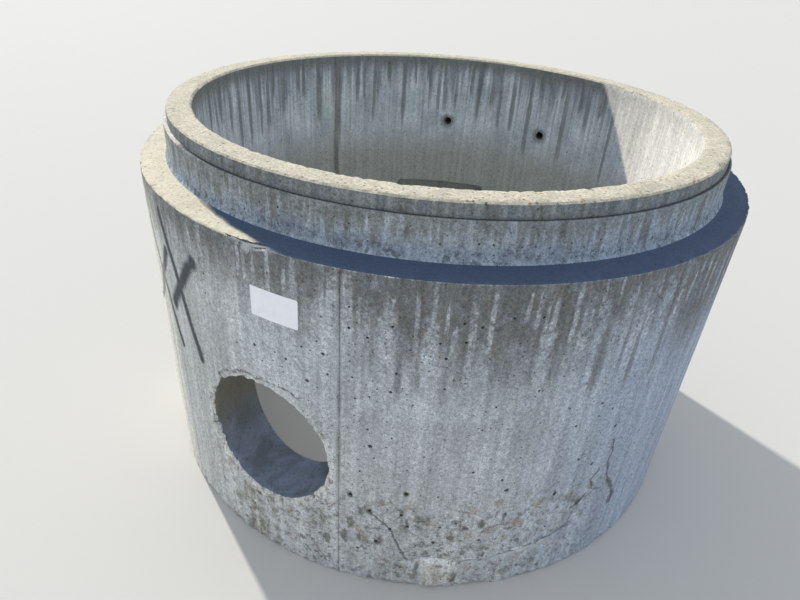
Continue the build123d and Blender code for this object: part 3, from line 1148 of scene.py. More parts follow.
# Each line is listed by its points, in degrees and metres, and its half width
STROKES = [
    ([
        (-121.6, 0.765), (-121.3, 0.746), (-119.7, 0.701), (-118.3, 0.661), (-117.0, 0.621),
        (-116.2, 0.591), (-115.0, 0.546), (-113.9, 0.511), (-112.9, 0.481), (-112.55, 0.461),
    ], 0.0115),
    ([
        (-111.2, 0.704), (-111.5, 0.699), (-112.6, 0.690), (-113.9, 0.666), (-115.4, 0.641),
        (-117.0, 0.616), (-118.5, 0.591), (-120.1, 0.566), (-120.6, 0.554),
    ], 0.0185),
    ([
        (-129.6, 0.706), (-127.5, 0.646), (-124.8, 0.586), (-122.8, 0.526), (-120.9, 0.476),
        (-119.8, 0.449),
    ], 0.011),
    ([
        (-121.4, 0.676), (-123.2, 0.636), (-125.9, 0.591), (-127.5, 0.546), (-130.2, 0.511),
        (-133.3, 0.481),
    ], 0.014),
]
CRACKS = [
    ([(-38.3, 0.3909), (-37.6, 0.3564), (-37.6, 0.3160), (-36.9, 0.2800), (-36.2, 0.2560)], 0.0032),
    ([(-36.2, 0.2560), (-35.0, 0.2330), (-34.2, 0.2160), (-32.7, 0.1810), (-33.0, 0.1540)], 0.0060),
    ([(-39.3, 0.3101), (-40.2, 0.2962), (-40.7, 0.2788), (-39.8, 0.2471)], 0.0030),
    ([(-41.0, 0.2420), (-42.2, 0.2230), (-43.9, 0.2060)], 0.0048),
    ([(-79.0, 0.2364), (-77.4, 0.2170), (-75.6, 0.1950), (-74.5, 0.1630)], 0.0026),
    ([(-74.5, 0.1630), (-73.6, 0.1320), (-72.6, 0.1050), (-72.2, 0.0930)], 0.0032),
    ([(-111.6, 0.289), (-109.6, 0.304)], 0.0040),
]
LEVEL_CRACK = [(-63.2, 0.0872), (-61.9, 0.0963), (-58.1, 0.091), (-57.1, 0.1039), (-54.1, 0.111)]
LEVEL_CRACK += [(-50.3, 0.1166), (-47.8, 0.1311), (-45.7, 0.1353), (-43.5, 0.1538)]
LEVEL_CRACK += [(-43.1, 0.1851), (-42.6, 0.2119), (-41.5, 0.2263), (-38.4, 0.2459)]

tree, place, around, height, noises, runny, blotchy = start_finish(
    "yard_weathered_mould_face", SEAM_ANGLE, OUTSIDE
)
cloud, patchy, grain, grit, streak, column, pitted = noises
from_seam = (SEAM_ANGLE, OUTSIDE)
wobble = add(tree, "SeparateXYZ", {0: blotchy})
wobble_around, wobble_height = wobble.outputs["X"], wobble.outputs["Y"]
ragged = {"Value": grit, "From Min": 0.3, "From Max": 0.7, "To Min": -0.002, "To Max": 0.002}
ragged = add(tree, "MapRange", ragged)
around_ragged = add(tree, "Math", {0: around, 1: ragged}, operation="ADD")
height_ragged = add(tree, "Math", {0: height, 1: ragged}, operation="ADD")

# The skin's colour, lighter low down, with painted light by side: warm and palest to the left,
# where the lamp grazes, bluer to the right in its shade, and greyer at the back, to tone down its
# light
skin = clouded(tree, cloud, "#a1a6a9", "#bfc4c7")
shades = [(shown_where(tree, (height, 0.64, 0.25)), 0.8, "#bbbebe")]
for angle, start, full, strength, colour in (
    (-150, 0.40, 0.66, 0.8, "#c5c8c4"),
    (-142, 0.678, 0.723, 1, "#ece9dc"),
    (-15, 0.48, 0.73, 0.75, "#95a5ba"),
    (130, 0.10, 0.66, 0.7, "#8f9394"),
):
    out = add(tree, "VectorMath", {0: place, 1: way_to(angle)}, operation="DOT_PRODUCT")
    shades.append((shown_where(tree, (out, start, full)), strength, colour))
skin = stained(tree, skin, shades)

# The band of dirt and the runs that part it
dirt_to = add(tree, "FloatCurve", {"Value": around})
lay_path(dirt_to, [(across(angle, *from_seam), z) for angle, z in DIRT_TO])
runny_height = add(tree, "SeparateXYZ", {0: runny}).outputs["Y"]
above = add(tree, "Math", {0: runny_height, 1: dirt_to}, operation="SUBTRACT")
band = shown_where(tree, (above, -0.09, 0.10))
dirt_runs = marked(tree, runny, *from_seam, runs(DIRT_RUNS, OUTSIDE), 0.9, True)
dirt_runs = add(tree, "Math", {0: dirt_runs, 1: 0.75}, operation="MULTIPLY")
lime = marked(tree, runny, *from_seam, runs(LIME_RUNS, OUTSIDE), 0.9, True)
specks = {"Value": pitted, "From Min": 0.6, "From Max": 0.42, "To Min": 0.35, "To Max": 1.0}
specks = add(tree, "MapRange", specks)
lime = add(tree, "Math", {0: lime, 1: specks}, operation="MULTIPLY")
sandy = product(tree, [(grit, 0.5, 1.25), (patchy, 0.6, 1.2)])
lime = add(tree, "Math", {0: lime, 1: sandy}, operation="MULTIPLY")
below = add(tree, "Math", {0: SHOULDER_Z, 1: height}, operation="SUBTRACT")
other_lime = hanging(tree, place, below, streak, 0.016, -0.2, 0.5, 3.7)
other_lime = shown_where(tree, (around, 0.95, 1.15), within=other_lime)
uneven = add(tree, "MapRange", {"Value": patchy, "From Min": 0.3, "From Max": 0.5, "To Min": 0.6})
drain = marked(tree, runny, *from_seam, DRAIN_STAINS, 1.0, True)
dirt_colour = clouded(tree, patchy, "#595e61", "#6c6b66")
darkening = add(tree, "Math", {0: band, 1: dirt_runs}, operation="MAXIMUM")
darkening = add(tree, "Math", {0: darkening, 1: uneven}, operation="MULTIPLY")
washed = add(tree, "Math", {0: lime, 1: -0.68, 2: 0.92}, operation="MULTIPLY_ADD")
darkening = add(tree, "Math", {0: darkening, 1: washed}, operation="MULTIPLY")
skin = add(tree, "Mix", {"Factor": darkening, "A": skin, "B": dirt_colour}, data_type="RGBA")
skin = stained(tree, skin, [(lime, 0.3, "#bcc5cc"), (other_lime, 0.4, "#aab1b4")])
skin = stained(tree, skin, [(drain, 0.6, "#8b8372")])

# The pitted foot, with tan and dark blotches, and the dirt that crept along the joint
out = add(tree, "VectorMath", {0: place, 1: way_to(-75)}, operation="DOT_PRODUCT")
foot = shown_where(tree, (height, 0.33, 0.22), (out, 0.52, 0.66))
blotches = (
    (patchy, 0.53, 0.57, 0.35, "#8b8373"),
    (patchy, 0.45, 0.41, 0.4, "#ced2d2"),
    (patchy, 0.60, 0.63, 0.4, "#6c6b60"),
    (pitted, 0.44, 0.40, 0.5, "#ccd0cf"),
    (pitted, 0.56, 0.60, 0.6, "#65655b"),
)
for pattern, low, high, strength, colour in blotches:
    blotch = shown_where(tree, (pattern, low, high), within=foot)
    skin = stained(tree, skin, [(blotch, strength, colour)])
crept_up = [(0.0, 0.3), (0.29, 0.25), (0.33, 0.6), (0.42, 0.7), (0.46, 0.25), (0.5, 0.6)]
crept_up += [(0.55, 0.6), (0.6, 0.3), (0.8, 0.25)]
crept = add(tree, "FloatCurve", {"Value": height})
lay_path(crept, crept_up)
seam_side = add(tree, "Math", {0: around_ragged}, operation="ABSOLUTE")
seam_dirt = shown_where(tree, (seam_side, 0.0075, 0.002), (grit, 0.42, 0.52), within=crept)
moss = [(-55.6, 0.786, 0.012, 0.012), (-54.6, 0.778, 0.008, 0.008)]
arris = shown_where(tree, (height_ragged, 0.799, 0.803))
blots = [
    (marked(tree, blotchy, *from_seam, TAN_SPOTS, 0.4), 0.5, "#9c8b76"),
    (marked(tree, blotchy, *from_seam, DARK_SPOTS, 0.4), 0.65, "#55564f"),
    (marked(tree, blotchy, *from_seam, moss), 0.6, "#66613d"),
    (seam_dirt, 1, "#4f524f"),
    (arris, 0.35, "#b4b9bd"),
]
skin = stained(tree, skin, blots)

# The mortar that set against the wall, with a painted shadow to its right, and pale marks along
# flaked skin and the mortar's edges, partly painted highlight
mortar_part = add(tree, "Attribute", {}, attribute_name="mortar").outputs["Fac"]
crisp = add(tree, "CombineXYZ", {0: around_ragged, 1: height_ragged})
pale_flakes_and_highlights = marked(tree, crisp, *from_seam, PALE_FLAKES_AND_HIGHLIGHTS, 0.5)
lump_pits = shown_where(tree, (pitted, 0.54, 0.6), within=mortar_part)
lump_painted_shadow = marked(tree, blotchy, *from_seam, [(-64.0, 0.045, 0.012, 0.04)])
tan_core = marked(tree, blotchy, *from_seam, [(-66.6, 0.045, 0.022, 0.032)], 0.8)
pale = [(mortar_part, 0.95, "#cbc9c2"), (tan_core, 0.5, "#968b7c")]
pale += [(lump_pits, 0.5, "#6f695c"), (lump_painted_shadow, 0.6, "#4f4e44"), (pale_flakes_and_highlights, 0.85, "#dcdfdf")]
skin = stained(tree, skin, pale)

# The sprayed strokes
tips = [
    (angle, z, 1.15 * half_width, 1.25 * half_width)
    for points, half_width in STROKES
    for angle, z in (points[0], points[-1])
]
paint = marked(tree, crisp, *from_seam, tips)
for points, half_width in STROKES:
    path = [(z, across(angle, *from_seam)) for angle, z in points]
    stroke = traced(tree, height_ragged, around_ragged, path, half_width * 1.5, 0.75)
    paint = add(tree, "Math", {0: paint, 1: stroke}, operation="MAXIMUM")
# The strokes are lighter on the far left: painted sunlight where the lamp grazes the wall
painted_sun_on_strokes = shown_where(tree, (around, -0.56, -0.46))
painted_sun_on_strokes = add(tree, "Math", {0: painted_sun_on_strokes, 1: 0.4, 2: 0.6}, operation="MULTIPLY_ADD")
paint = add(tree, "Math", {0: paint, 1: painted_sun_on_strokes}, operation="MULTIPLY")
skin = stained(tree, skin, [(paint, 1, "#4a4f55")])

# Cracks, and the crack along the lip over the pipe opening
crack = 0.0
for points, half_width in CRACKS:
    path = [(z, across(angle, *from_seam)) for angle, z in points]
    line = traced(tree, height, wobble_around, path, half_width * 1.7, 1.0)
    crack = add(tree, "Math", {0: crack, 1: line}, operation="MAXIMUM")
path = [(across(angle, *from_seam), z) for angle, z in LEVEL_CRACK]
line = traced(tree, around, wobble_height, path, 0.0045, 1.0)
crack = add(tree, "Math", {0: crack, 1: line}, operation="MAXIMUM")
side = add(tree, "VectorMath", {0: place, 1: pipe_side}, operation="DOT_PRODUCT")
rise = add(tree, "Math", {0: height, 1: PIPE_Z}, operation="SUBTRACT")
reach = add(tree, "CombineXYZ", {0: side, 1: rise})
reach = add(tree, "VectorMath", {0: reach}, operation="LENGTH")
reach = add(tree, "Math", {0: reach, 1: ragged}, operation="ADD")
bearing = add(tree, "Math", {0: rise, 1: side}, operation="ARCTAN2")
lip_path = [(math.radians(turn), far) for turn, far in LIP if far]
wavy_reach = add(tree, "Math", {0: patchy, 1: 0.03, 2: reach}, operation="MULTIPLY_ADD")
wavy_reach = add(tree, "Math", {0: wavy_reach, 1: 0.015}, operation="SUBTRACT")
line = traced(tree, bearing, wavy_reach, lip_path, 0.005, 0.8)
near_pipe = {0: around, 1: across(PIPE_BEARING, *from_seam), 2: 0.3}
near_pipe = add(tree, "Math", near_pipe, operation="COMPARE")
line = add(tree, "Math", {0: line, 1: near_pipe}, operation="MULTIPLY")
line = shown_where(tree, (pitted, 0.4, 0.5), within=line)
crack = add(tree, "Math", {0: crack, 1: line}, operation="MAXIMUM")
mouth = (wavy_reach, PIPE_RADIUS + 0.026, PIPE_RADIUS + 0.014)
mouth = shown_where(tree, mouth, within=near_pipe)
pocket = shown_where(tree, (pitted, 0.55, 0.6), within=mouth)
pale_edge = [(mouth, 0.7, "#cdcfca"), (pocket, 0.7, "#6f6e66"), (crack, 0.8, "#4b4a42")]
skin = stained(tree, skin, pale_edge)

spread = [(streak, 1.13, 0.87), (column, 1.08, 0.92), (grain, 0.78, 1.22), (grit, 0.72, 1.28)]
spread += [(pitted, 1.07, 0.93), (patchy, 0.97, 1.03)]
light = product(tree, spread)
matt = product(tree, [(cloud, 0.82, 0.95)])
relief = add(tree, "Math", {0: grain, 1: 0.35, 2: patchy}, operation="MULTIPLY_ADD")
relief = add(tree, "Math", {0: crack, 1: -1.2, 2: relief}, operation="MULTIPLY_ADD")
end_finish(tree, place, skin, light, matt, relief)


# The spigot, which a ring mould formed: blue-grey and sandy, mottled with olive-brown stains above
# the ledge, and with short drips of dirt from the ledge over a paler foot. The ledge's corner is
# dark with painted shade and grime on the side away from the lamp, and painted pale where it
# lights.
SUN_AZIMUTH = 146.4
SUN_HEIGHT = 33.4
SPIGOT_STREAKS = [
    (-54.7, 0.855, 0.010, 0.035), (-39.6, 0.850, 0.014, 0.045), (-24.5, 0.850, 0.012, 0.045),
    (-85.0, 0.862, 0.006, 0.025), (-91.5, 0.860, 0.007, 0.030), (-97.2, 0.858, 0.008, 0.030),
    (-101.5, 0.860, 0.006, 0.025), (-48.0, 0.850, 0.005, 0.035), (-115.2, 0.855, 0.006, 0.035),
    (-59.0, 0.865, 0.005, 0.020), (-32.0, 0.860, 0.006, 0.025), (-76.5, 0.868, 0.006, 0.020),
    (-107.0, 0.860, 0.008, 0.025), (-70.5, 0.870, 0.005, 0.020), (-65.5, 0.866, 0.005, 0.022),
]
tree, place, around, height, noises, runny, blotchy = start_finish(
    "weathered_ring_mould_face", 90, SPIGOT
)
cloud, patchy, grain, grit, streak, column, pitted = noises
skin = clouded(tree, patchy, "#8d9397", "#abb2b6")
foot = shown_where(tree, (height, 0.865, 0.82))
root_spots = shown_where(tree, (height, 0.84, 0.82), (pitted, 0.54, 0.58))
below = add(tree, "Math", {0: LEDGE_Z, 1: height}, operation="SUBTRACT")
drips = hanging(tree, place, below, streak, 0.014, -0.004, 0.06, 1.3)
upper = add(tree, "Math", {0: height, 1: LEDGE_Z}, operation="GREATER_THAN")
upper_stain = product(tree, [(streak, 0.0, 1.0)])
upper_stain = add(tree, "Math", {0: upper_stain, 1: upper}, operation="MULTIPLY")
olive = shown_where(tree, (patchy, 0.4, 0.6), within=upper_stain)
# The ledge: painted shade with grime where the lamp doesn't reach it, a painted highlight where it
# does
on_ledge = add(tree, "Math", {0: height, 1: LEDGE_Z - 0.0006, 2: 0.0009}, operation="COMPARE")
level_place = add(tree, "Mapping", {"Vector": place, "Scale": (1, 1, 0)})
outwards = add(tree, "VectorMath", {0: level_place}, operation="LENGTH")
ledge_shade_and_grime = (outwards, GASKET_SEAT + 0.006, GASKET_SEAT + 0.003)
ledge_shade_and_grime = shown_where(tree, ledge_shade_and_grime, within=on_ledge)
to_sun = add(tree, "VectorMath", {0: place, 1: way_to(SUN_AZIMUTH)}, operation="DOT_PRODUCT")
sunlit_side = shown_where(tree, (to_sun, -0.03, 0.03))
ledge_shade_and_grime = add(tree, "Math", {0: ledge_shade_and_grime, 1: sunlit_side}, operation="SUBTRACT", use_clamp=True)
painted_lit_ledge = add(tree, "Math", {0: on_ledge, 1: sunlit_side}, operation="MULTIPLY")
# Bluer on the side away from the lamp: a painted blue of sky-lit shade
to_right = add(tree, "VectorMath", {0: place, 1: way_to(-25)}, operation="DOT_PRODUCT")
marks = [
    (shown_where(tree, (to_right, 0.45, 0.66)), 0.6, "#8b9bae"),
    (foot, 0.6, "#8b9bab"),
    (drips, 0.6, "#63665f"),
    (marked(tree, runny, 90, SPIGOT, SPIGOT_STREAKS, 0.9, True), 0.6, "#67665d"),
    (upper_stain, 0.7, "#67727a"),
    (olive, 0.5, "#6d6857"),
    (root_spots, 0.6, "#4d545a"),
    (ledge_shade_and_grime, 0.85, "#2f3439"),
    (painted_lit_ledge, 0.8, "#dcd7c8"),
]
skin = stained(tree, skin, marks)
light = product(tree, [(streak, 1.18, 0.86), (grain, 0.8, 1.2), (grit, 0.68, 1.34)])
matt = product(tree, [(cloud, 0.82, 0.95)])
relief = add(tree, "Math", {0: grain, 1: 0.4, 2: patchy}, operation="MULTIPLY_ADD")
end_finish(tree, place, skin, light, matt, relief)


# The rim and the shoulder, struck off and trowelled while wet, and since washed by rain: cream
# sand stands proud of the paste, with a few brown and dark stones. Grains are drawn 3 mm wide.
# Where the spigot's shadow falls on the shoulder, a painted shadow makes it dark blue-grey.
# The painted shadow: a circle shifted away from the lamp, as the spigot's shadow falls, with a wavy
# edge
SUNLESS_CENTRE = (0.1350, -0.0897, 0)
SUNLESS_RADIUS = 0.667
tree, place, around, height, noises, runny, blotchy = start_finish(
    "rain_washed_trowelled_top", 90, OUTSIDE
)
cloud, patchy, grain, grit, streak, column, pitted = noises
sand = add(tree, "TexNoise", {"Vector": place, "Scale": 260, "Detail": 3, "Roughness": 0.65})
skin = clouded(tree, sand, "#b0a995", "#d8d1be")
dull = shown_where(tree, (patchy, 0.45, 0.65))
stones = add(tree, "TexVoronoi", {"Vector": place, "Scale": 120})
picked = add(tree, "SeparateColor", {0: stones.outputs["Color"]})
stone = shown_where(tree, (stones.outputs["Distance"], 0.4, 0.25))
level_place = add(tree, "Mapping", {"Vector": place, "Scale": (1, 1, 0)})
sunless = add(tree, "VectorMath", {0: level_place, 1: SUNLESS_CENTRE}, operation="DISTANCE")
wavy = add(tree, "Math", {0: patchy, 1: 0.016, 2: sunless}, operation="MULTIPLY_ADD")
on_shoulder = add(tree, "Math", {0: height, 1: LEDGE_Z}, operation="LESS_THAN")
painted_shoulder_shadow = (wavy, SUNLESS_RADIUS + 0.016, SUNLESS_RADIUS + 0.004)
painted_shoulder_shadow = shown_where(tree, painted_shoulder_shadow, within=on_shoulder)
marks = [(dull, 0.45, "#a8a599")]
for channel, colour in (("Red", "#94704f"), ("Green", "#66645c")):
    rare = add(tree, "Math", {0: picked.outputs[channel], 1: 0.93}, operation="GREATER_THAN")
    rare = add(tree, "Math", {0: rare, 1: stone}, operation="MULTIPLY")
    marks.append((rare, 0.75, colour))
marks.append((on_shoulder, 0.4, "#efe6cd"))
skin = stained(tree, skin, marks + [(painted_shoulder_shadow, 0.95, "#2f496b")])
light = product(tree, [(cloud, 0.93, 1.06), (grit, 0.86, 1.14)])
matt = product(tree, [(sand, 0.88, 0.98)])
relief = add(tree, "Math", {0: sand, 1: 1.6, 2: patchy}, operation="MULTIPLY_ADD")
end_finish(tree, place, skin, light, matt, relief)


# The inner face, cast against the inner mould: pale grey, darker under the rim, where upright
# drips of olive dirt start, and with one broad brown streak where water ran down. Down as far as
# the lamp's light comes in over the rim, a pale cream painted sunlight lies on it.
INNER_DRIPS = [
    (40.8, 0.90, 0.70, 0.5), (49.9, 0.90, 0.58, 0.45), (54.6, 0.90, 0.81, 0.6),
    (59.6, 0.91, 0.73, 0.5), (62.3, 0.90, 0.80, 0.4), (66.9, 0.91, 0.58, 0.55),
    (68.7, 0.90, 0.82, 0.4), (73.6, 0.90, 0.85, 0.5), (76.0, 0.90, 0.84, 0.5),
    (79.1, 0.91, 0.59, 0.5), (84.9, 0.90, 0.67, 0.5), (89.0, 0.89, 0.69, 0.35),
    (91.8, 0.90, 0.75, 0.6), (96.2, 0.90, 0.72, 0.5), (98.8, 0.90, 0.80, 0.4),
    (103.8, 0.91, 0.72, 0.35), (107.3, 0.90, 0.71, 0.45), (109.4, 0.90, 0.68, 0.35),
    (113.0, 0.90, 0.83, 0.5), (117.5, 0.90, 0.84, 0.4), (121.0, 0.91, 0.69, 0.55),
    (126.2, 0.90, 0.81, 0.5), (130.9, 0.91, 0.68, 0.45), (134.4, 0.90, 0.75, 0.4),
    (136.5, 0.90, 0.74, 0.4), (150.2, 0.91, 0.68, 0.6), (155.5, 0.90, 0.78, 0.5),
    (157.7, 0.90, 0.78, 0.4), (163.3, 0.90, 0.75, 0.5), (167.0, 0.90, 0.80, 0.4),
    (169.5, 0.90, 0.72, 0.45), (172.7, 0.90, 0.72, 0.4), (177.4, 0.90, 0.67, 0.5),
    (182.0, 0.90, 0.68, 0.5), (186.4, 0.90, 0.72, 0.5), (191.5, 0.90, 0.76, 0.6),
    (194.4, 0.90, 0.78, 0.4), (198.6, 0.90, 0.78, 0.5),
]
BROWN_STREAK = [(143.5, 0.94, 0.60, 1.2), (143.9, 0.72, 0.44, 0.9)]
tree, place, around, height, noises, runny, blotchy = start_finish(
    "streaked_inner_mould_face", 120, BORE
)
cloud, patchy, grain, grit, streak, column, pitted = noises
from_left = (120, BORE)
skin = clouded(tree, cloud, "#acb6bd", "#ccd4da")
below = add(tree, "Math", {0: TOP_Z, 1: height}, operation="SUBTRACT")
edge_band = shown_where(tree, (below, 0.055, 0.012))
edge_dirt = hanging(tree, place, below, streak, 0.02, -0.01, 0.13, 5.1)
more_dirt = hanging(tree, place, below, streak, 0.009, -0.06, 0.28, 9.4)
low_down = shown_where(tree, (height, 0.72, 0.56))
from_sun = {0: place, 1: way_to(SUN_AZIMUTH - 180)}
from_sun = add(tree, "VectorMath", from_sun, operation="DOT_PRODUCT")
sun_reach = {0: from_sun, 1: 2 * math.tan(math.radians(SUN_HEIGHT)), 2: height}
sun_reach = add(tree, "Math", sun_reach, operation="MULTIPLY_ADD")
to_far_wall = add(tree, "VectorMath", {0: place, 1: way_to(90)}, operation="DOT_PRODUCT")
# Painted sunlight: pale where the lamp reaches in over the rim, with its edge along the rim's
# shadow
painted_sunlight_inside = (sun_reach, TOP_Z - 0.008, TOP_Z + 0.016)
painted_sunlight_inside = shown_where(tree, painted_sunlight_inside, (to_far_wall, -0.40, -0.08))
halo = [(90 + turn, STEP_Z, 0.034, 0.034) for turn in (-STEP_LEG_ANGLE, STEP_LEG_ANGLE)]
marks = [
    (low_down, 0.85, "#9b9c95"),
    (painted_sunlight_inside, 0.92, "#f9f4e9"),
    (marked(tree, blotchy, *from_left, halo, 0.6), 0.6, "#5b6064"),
    (more_dirt, 0.4, "#74787a"),
    (edge_dirt, 0.65, "#6c7176"),
    (edge_band, 0.8, "#696b67"),
    (marked(tree, runny, *from_left, runs(INNER_DRIPS, BORE, 1.9), 0.9, True), 0.65, "#62655f"),
    (marked(tree, runny, *from_left, runs(BROWN_STREAK, BORE), 1.0, True), 0.75, "#5e5c57"),
    (painted_sunlight_inside, 0.6, "#fcf7ec"),
]
skin = stained(tree, skin, marks)
spread = [(streak, 1.1, 0.9), (column, 1.05, 0.95), (grain, 0.88, 1.12), (grit, 0.82, 1.18)]
light = product(tree, spread + [(pitted, 0.93, 1.07)])
matt = product(tree, [(cloud, 0.82, 0.95)])
relief = add(tree, "Math", {0: grain, 1: 0.35, 2: patchy}, operation="MULTIPLY_ADD")
end_finish(tree, place, skin, light, matt, relief)


# The pipe opening's own wall, which a greased drum left smooth and blue-grey, in soft folds, with
# an olive-brown stain in its roof and a painted bluish sheen low in it. The step's sockets have the
# same finish.
tree, place, around, height, noises, runny, blotchy = start_finish(
    "drum_formed_bore", PIPE_BEARING, OUTSIDE
)
cloud, patchy, grain, grit, streak, column, pitted = noises
folds = add(tree, "TexNoise", {"Vector": place, "Scale": 11, "Detail": 4, "Distortion": 0.8})
skin = clouded(tree, folds, "#59626e", "#767f8e")
painted_floor_sheen = (height, PIPE_Z - 0.10, PIPE_Z - 0.145)
painted_floor_sheen = shown_where(tree, painted_floor_sheen, (folds, 0.42, 0.60))
uneven = {"Value": patchy, "From Min": 0.62, "From Max": 0.42, "To Min": 0.85}
uneven = add(tree, "MapRange", uneven)
roof_stain = shown_where(tree, (height, PIPE_Z - 0.11, PIPE_Z + 0.02), within=uneven)
marks = [(roof_stain, 0.9, "#777364"), (painted_floor_sheen, 0.35, "#8193b0")]
marks.append((shown_where(tree, (pitted, 0.57, 0.62)), 0.4, "#4c535c"))
skin = stained(tree, skin, marks)
light = product(tree, [(grain, 0.92, 1.08), (grit, 0.9, 1.1)])
matt = product(tree, [(folds, 0.72, 0.9)])
relief = add(tree, "Math", {0: folds, 1: 5.0, 2: grain}, operation="MULTIPLY_ADD")
end_finish(tree, place, skin, light, matt, relief)


# The underside, which lay on the steel base ring of the mould: flat and plain grey, with the
# grain of the mix showing.
tree, place, around, height, noises, runny, blotchy = start_finish(
    "flat_cast_underside", 90, OUTSIDE
)
cloud, patchy, grain, grit, streak, column, pitted = noises
skin = clouded(tree, patchy, "#888b8c", "#a2a5a5")
light = product(tree, [(grain, 0.88, 1.12), (grit, 0.88, 1.12)])
matt = product(tree, [(cloud, 0.85, 0.95)])
relief = add(tree, "Math", {0: grain, 1: 0.6, 2: patchy}, operation="MULTIPLY_ADD")
end_finish(tree, place, skin, light, matt, relief)


# The label: a blank sheet of white paper with a glued back, pressed onto the wall under the
# shoulder. It was cut with round corners on its right side, and follows the wall's curve.
LABEL_LEFT = -98.3
LABEL_WIDTH = 0.102
LABEL_HEIGHT = 0.062
LABEL_MIDDLE_Z = 0.6905
LABEL_TILT = math.radians(-1.2)
LABEL_CORNER = 0.004
LABEL_THICKNESS = 0.0003

sheet = bmesh.new()
bmesh.ops.create_grid(sheet, x_segments=1, y_segments=1, size=0.5)
bmesh.ops.scale(sheet, vec=(LABEL_WIDTH, LABEL_HEIGHT, 1), verts=sheet.verts)
bmesh.ops.bevel(
    sheet,
    geom=[vert for vert in sheet.verts if vert.co.x > 0],
    offset=LABEL_CORNER,
    affect="VERTICES",
    segments=4,
    profile=0.5,
    material=-1,
)
for axis, length, cuts in ((0, LABEL_WIDTH, 24), (1, LABEL_HEIGHT, 12)):
    for cut in range(1, cuts):
        spot = [0, 0, 0]
        spot[axis] = length * (cut / cuts - 0.5)
        normal = [0, 0, 0]
        normal[axis] = 1
        bmesh.ops.bisect_plane(
            sheet,
            geom=list(sheet.verts) + list(sheet.edges) + list(sheet.faces),
            dist=1e-6,
            plane_co=spot,
            plane_no=normal,
        )
bmesh.ops.rotate(sheet, matrix=Matrix.Rotation(LABEL_TILT, 3, "Z"), verts=sheet.verts)
for vert in sheet.verts:
    turn = math.radians(LABEL_LEFT) + (vert.co.x + LABEL_WIDTH / 2) / OUTSIDE
    z = LABEL_MIDDLE_Z + vert.co.y
    on_face = Vector((OUTSIDE * math.cos(turn), OUTSIDE * math.sin(turn), z))
    stands_off = LABEL_THICKNESS + 0.0001 - outer_wave(on_face)
    vert.co = on_face + outward_of(on_face) * stands_off
bmesh.ops.recalc_face_normals(sheet, faces=sheet.faces)
if next(iter(sheet.faces)).normal.dot(outward_of(next(iter(sheet.verts)).co)) < 0:
    bmesh.ops.reverse_faces(sheet, faces=sheet.faces)
bmesh.ops.solidify(sheet, geom=sheet.faces, thickness=LABEL_THICKNESS)
label_mesh = bpy.data.meshes.new("paper_label")
sheet.to_mesh(label_mesh)
sheet.free()
label_mesh.shade_smooth()
label_mesh.set_sharp_from_angle(angle=math.radians(38))
label = put_in_scene("paper_label", label_mesh)
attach(label, "root")

# Uncoated white paper: cool and evenly bright, a little soiled, with a fibre texture of 1 mm
tree = start_material(label_mesh, "uncoated_label_paper")
place = add(tree, "TexCoord", {}).outputs["Object"]
soil = add(tree, "TexNoise", {"Vector": place, "Scale": 60, "Detail": 4})
soiled = {"Value": soil, "From Min": 0.4, "From Max": 0.75, "To Max": 0.5}
soiled = add(tree, "MapRange", soiled)
paper = {"Factor": soiled, "A": ink("#fafcff"), "B": ink("#eaeef6")}
paper = add(tree, "Mix", paper, data_type="RGBA")
fibre = add(tree, "TexNoise", {"Vector": place, "Scale": 1000, "Detail": 2})
rough = {"Value": soil, "From Min": 0.3, "From Max": 0.7, "To Min": 0.55, "To Max": 0.7}
rough = add(tree, "MapRange", rough)
bump = add(tree, "Bump", {"Height": fibre, "Distance": 0.00005})
ends = {"Base Color": paper, "Roughness": rough, "Normal": bump}
join(tree, tree.nodes["Principled BSDF"], ends)


# The studio: a pale floor, a soft sky all round and one soft lamp from behind and to the left,
# where the photograph's light comes from. The camera stands where the photograph was taken.
floor_mesh = bmesh.new()
bmesh.ops.create_grid(floor_mesh, x_segments=1, y_segments=1, size=40)
floor_data = bpy.data.meshes.new("studio_floor")
floor_mesh.to_mesh(floor_data)
floor_mesh.free()
floor = put_in_scene("studio_floor", floor_data)
floor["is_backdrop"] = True
tree = start_material(floor_data, "matt_floor_paint")
join(tree, tree.nodes["Principled BSDF"], {"Base Color": ink("#cbc9c5"), "Roughness": 0.95})

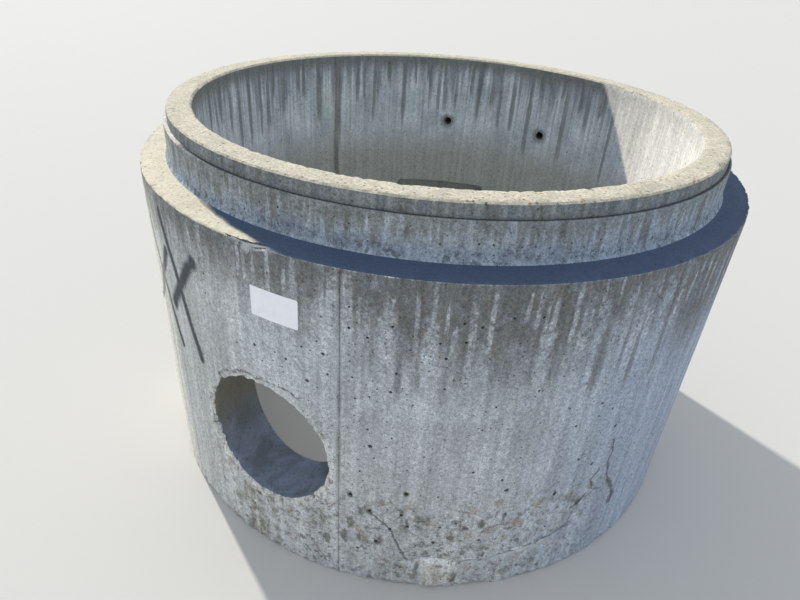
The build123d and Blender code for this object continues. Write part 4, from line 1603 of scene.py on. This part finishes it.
world = bpy.data.worlds.new("soft_sky")
bpy.context.scene.world = world
world.use_nodes = True
sky = world.node_tree
for old in list(sky.nodes):
    sky.nodes.remove(old)
light_path = add(sky, "LightPath", {})
camera_or_glossy = add(
    sky,
    "Math",
    {0: light_path.outputs["Is Camera Ray"], 1: light_path.outputs["Is Glossy Ray"]},
    operation="MAXIMUM",
)
seen_white = add(
    sky,
    "Math",
    {0: camera_or_glossy, 1: light_path.outputs["Is Transmission Ray"]},
    operation="MAXIMUM",
)
dome = add(sky, "Background", {"Color": ink("#e6eef9"), "Strength": 0.84})
white = add(sky, "Background", {"Color": (1, 1, 1, 1), "Strength": 1.0})
both = add(sky, "MixShader", {0: seen_white, 1: dome, 2: white})
add(sky, "OutputWorld", {"Surface": both})

lamp_data = bpy.data.lights.new("soft_key", "SUN")
lamp_data.energy = 3.4
lamp_data.angle = math.radians(1.6)
lamp_data.color = (1.0, 0.965, 0.9)
lamp = put_in_scene("soft_key", lamp_data)
KEY_AZIMUTH = math.radians(SUN_AZIMUTH)
KEY_HEIGHT = math.radians(SUN_HEIGHT)
to_key = Vector(
    (
        math.cos(KEY_HEIGHT) * math.cos(KEY_AZIMUTH),
        math.cos(KEY_HEIGHT) * math.sin(KEY_AZIMUTH),
        math.sin(KEY_HEIGHT),
    )
)
lamp.matrix_world = to_key.to_track_quat("Z", "Y").to_matrix().to_4x4()

camera_data = bpy.data.cameras.new("camera")
camera_data.sensor_width = 36.0
camera_data.lens = 26.77
camera = put_in_scene("camera", camera_data)
PITCH = math.radians(31.798)
YAW = math.radians(-2.970)
ROLL = math.radians(3.890)
FRAME_TURN = math.radians(17.03)
CAMERA_PLACE = (0, -1.5519, 1.2698)
forward = Vector(
    (math.sin(YAW) * math.cos(PITCH), math.cos(YAW) * math.cos(PITCH), -math.sin(PITCH))
)
level = Vector((math.cos(YAW), -math.sin(YAW), 0))
upward = level.cross(forward)
right = math.cos(ROLL) * level + math.sin(ROLL) * upward
up = -math.sin(ROLL) * level + math.cos(ROLL) * upward
axes = Matrix((right, up, -forward)).transposed().to_4x4()
stand = Matrix.Translation(CAMERA_PLACE)
camera.matrix_world = Matrix.Rotation(FRAME_TURN, 4, "Z") @ stand @ axes
bpy.context.scene.camera = camera
bpy.context.scene.view_settings.view_transform = "Standard"

low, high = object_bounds()
{"cad": [list(cad_low), list(cad_high)], "visual": [list(low), list(high)]}
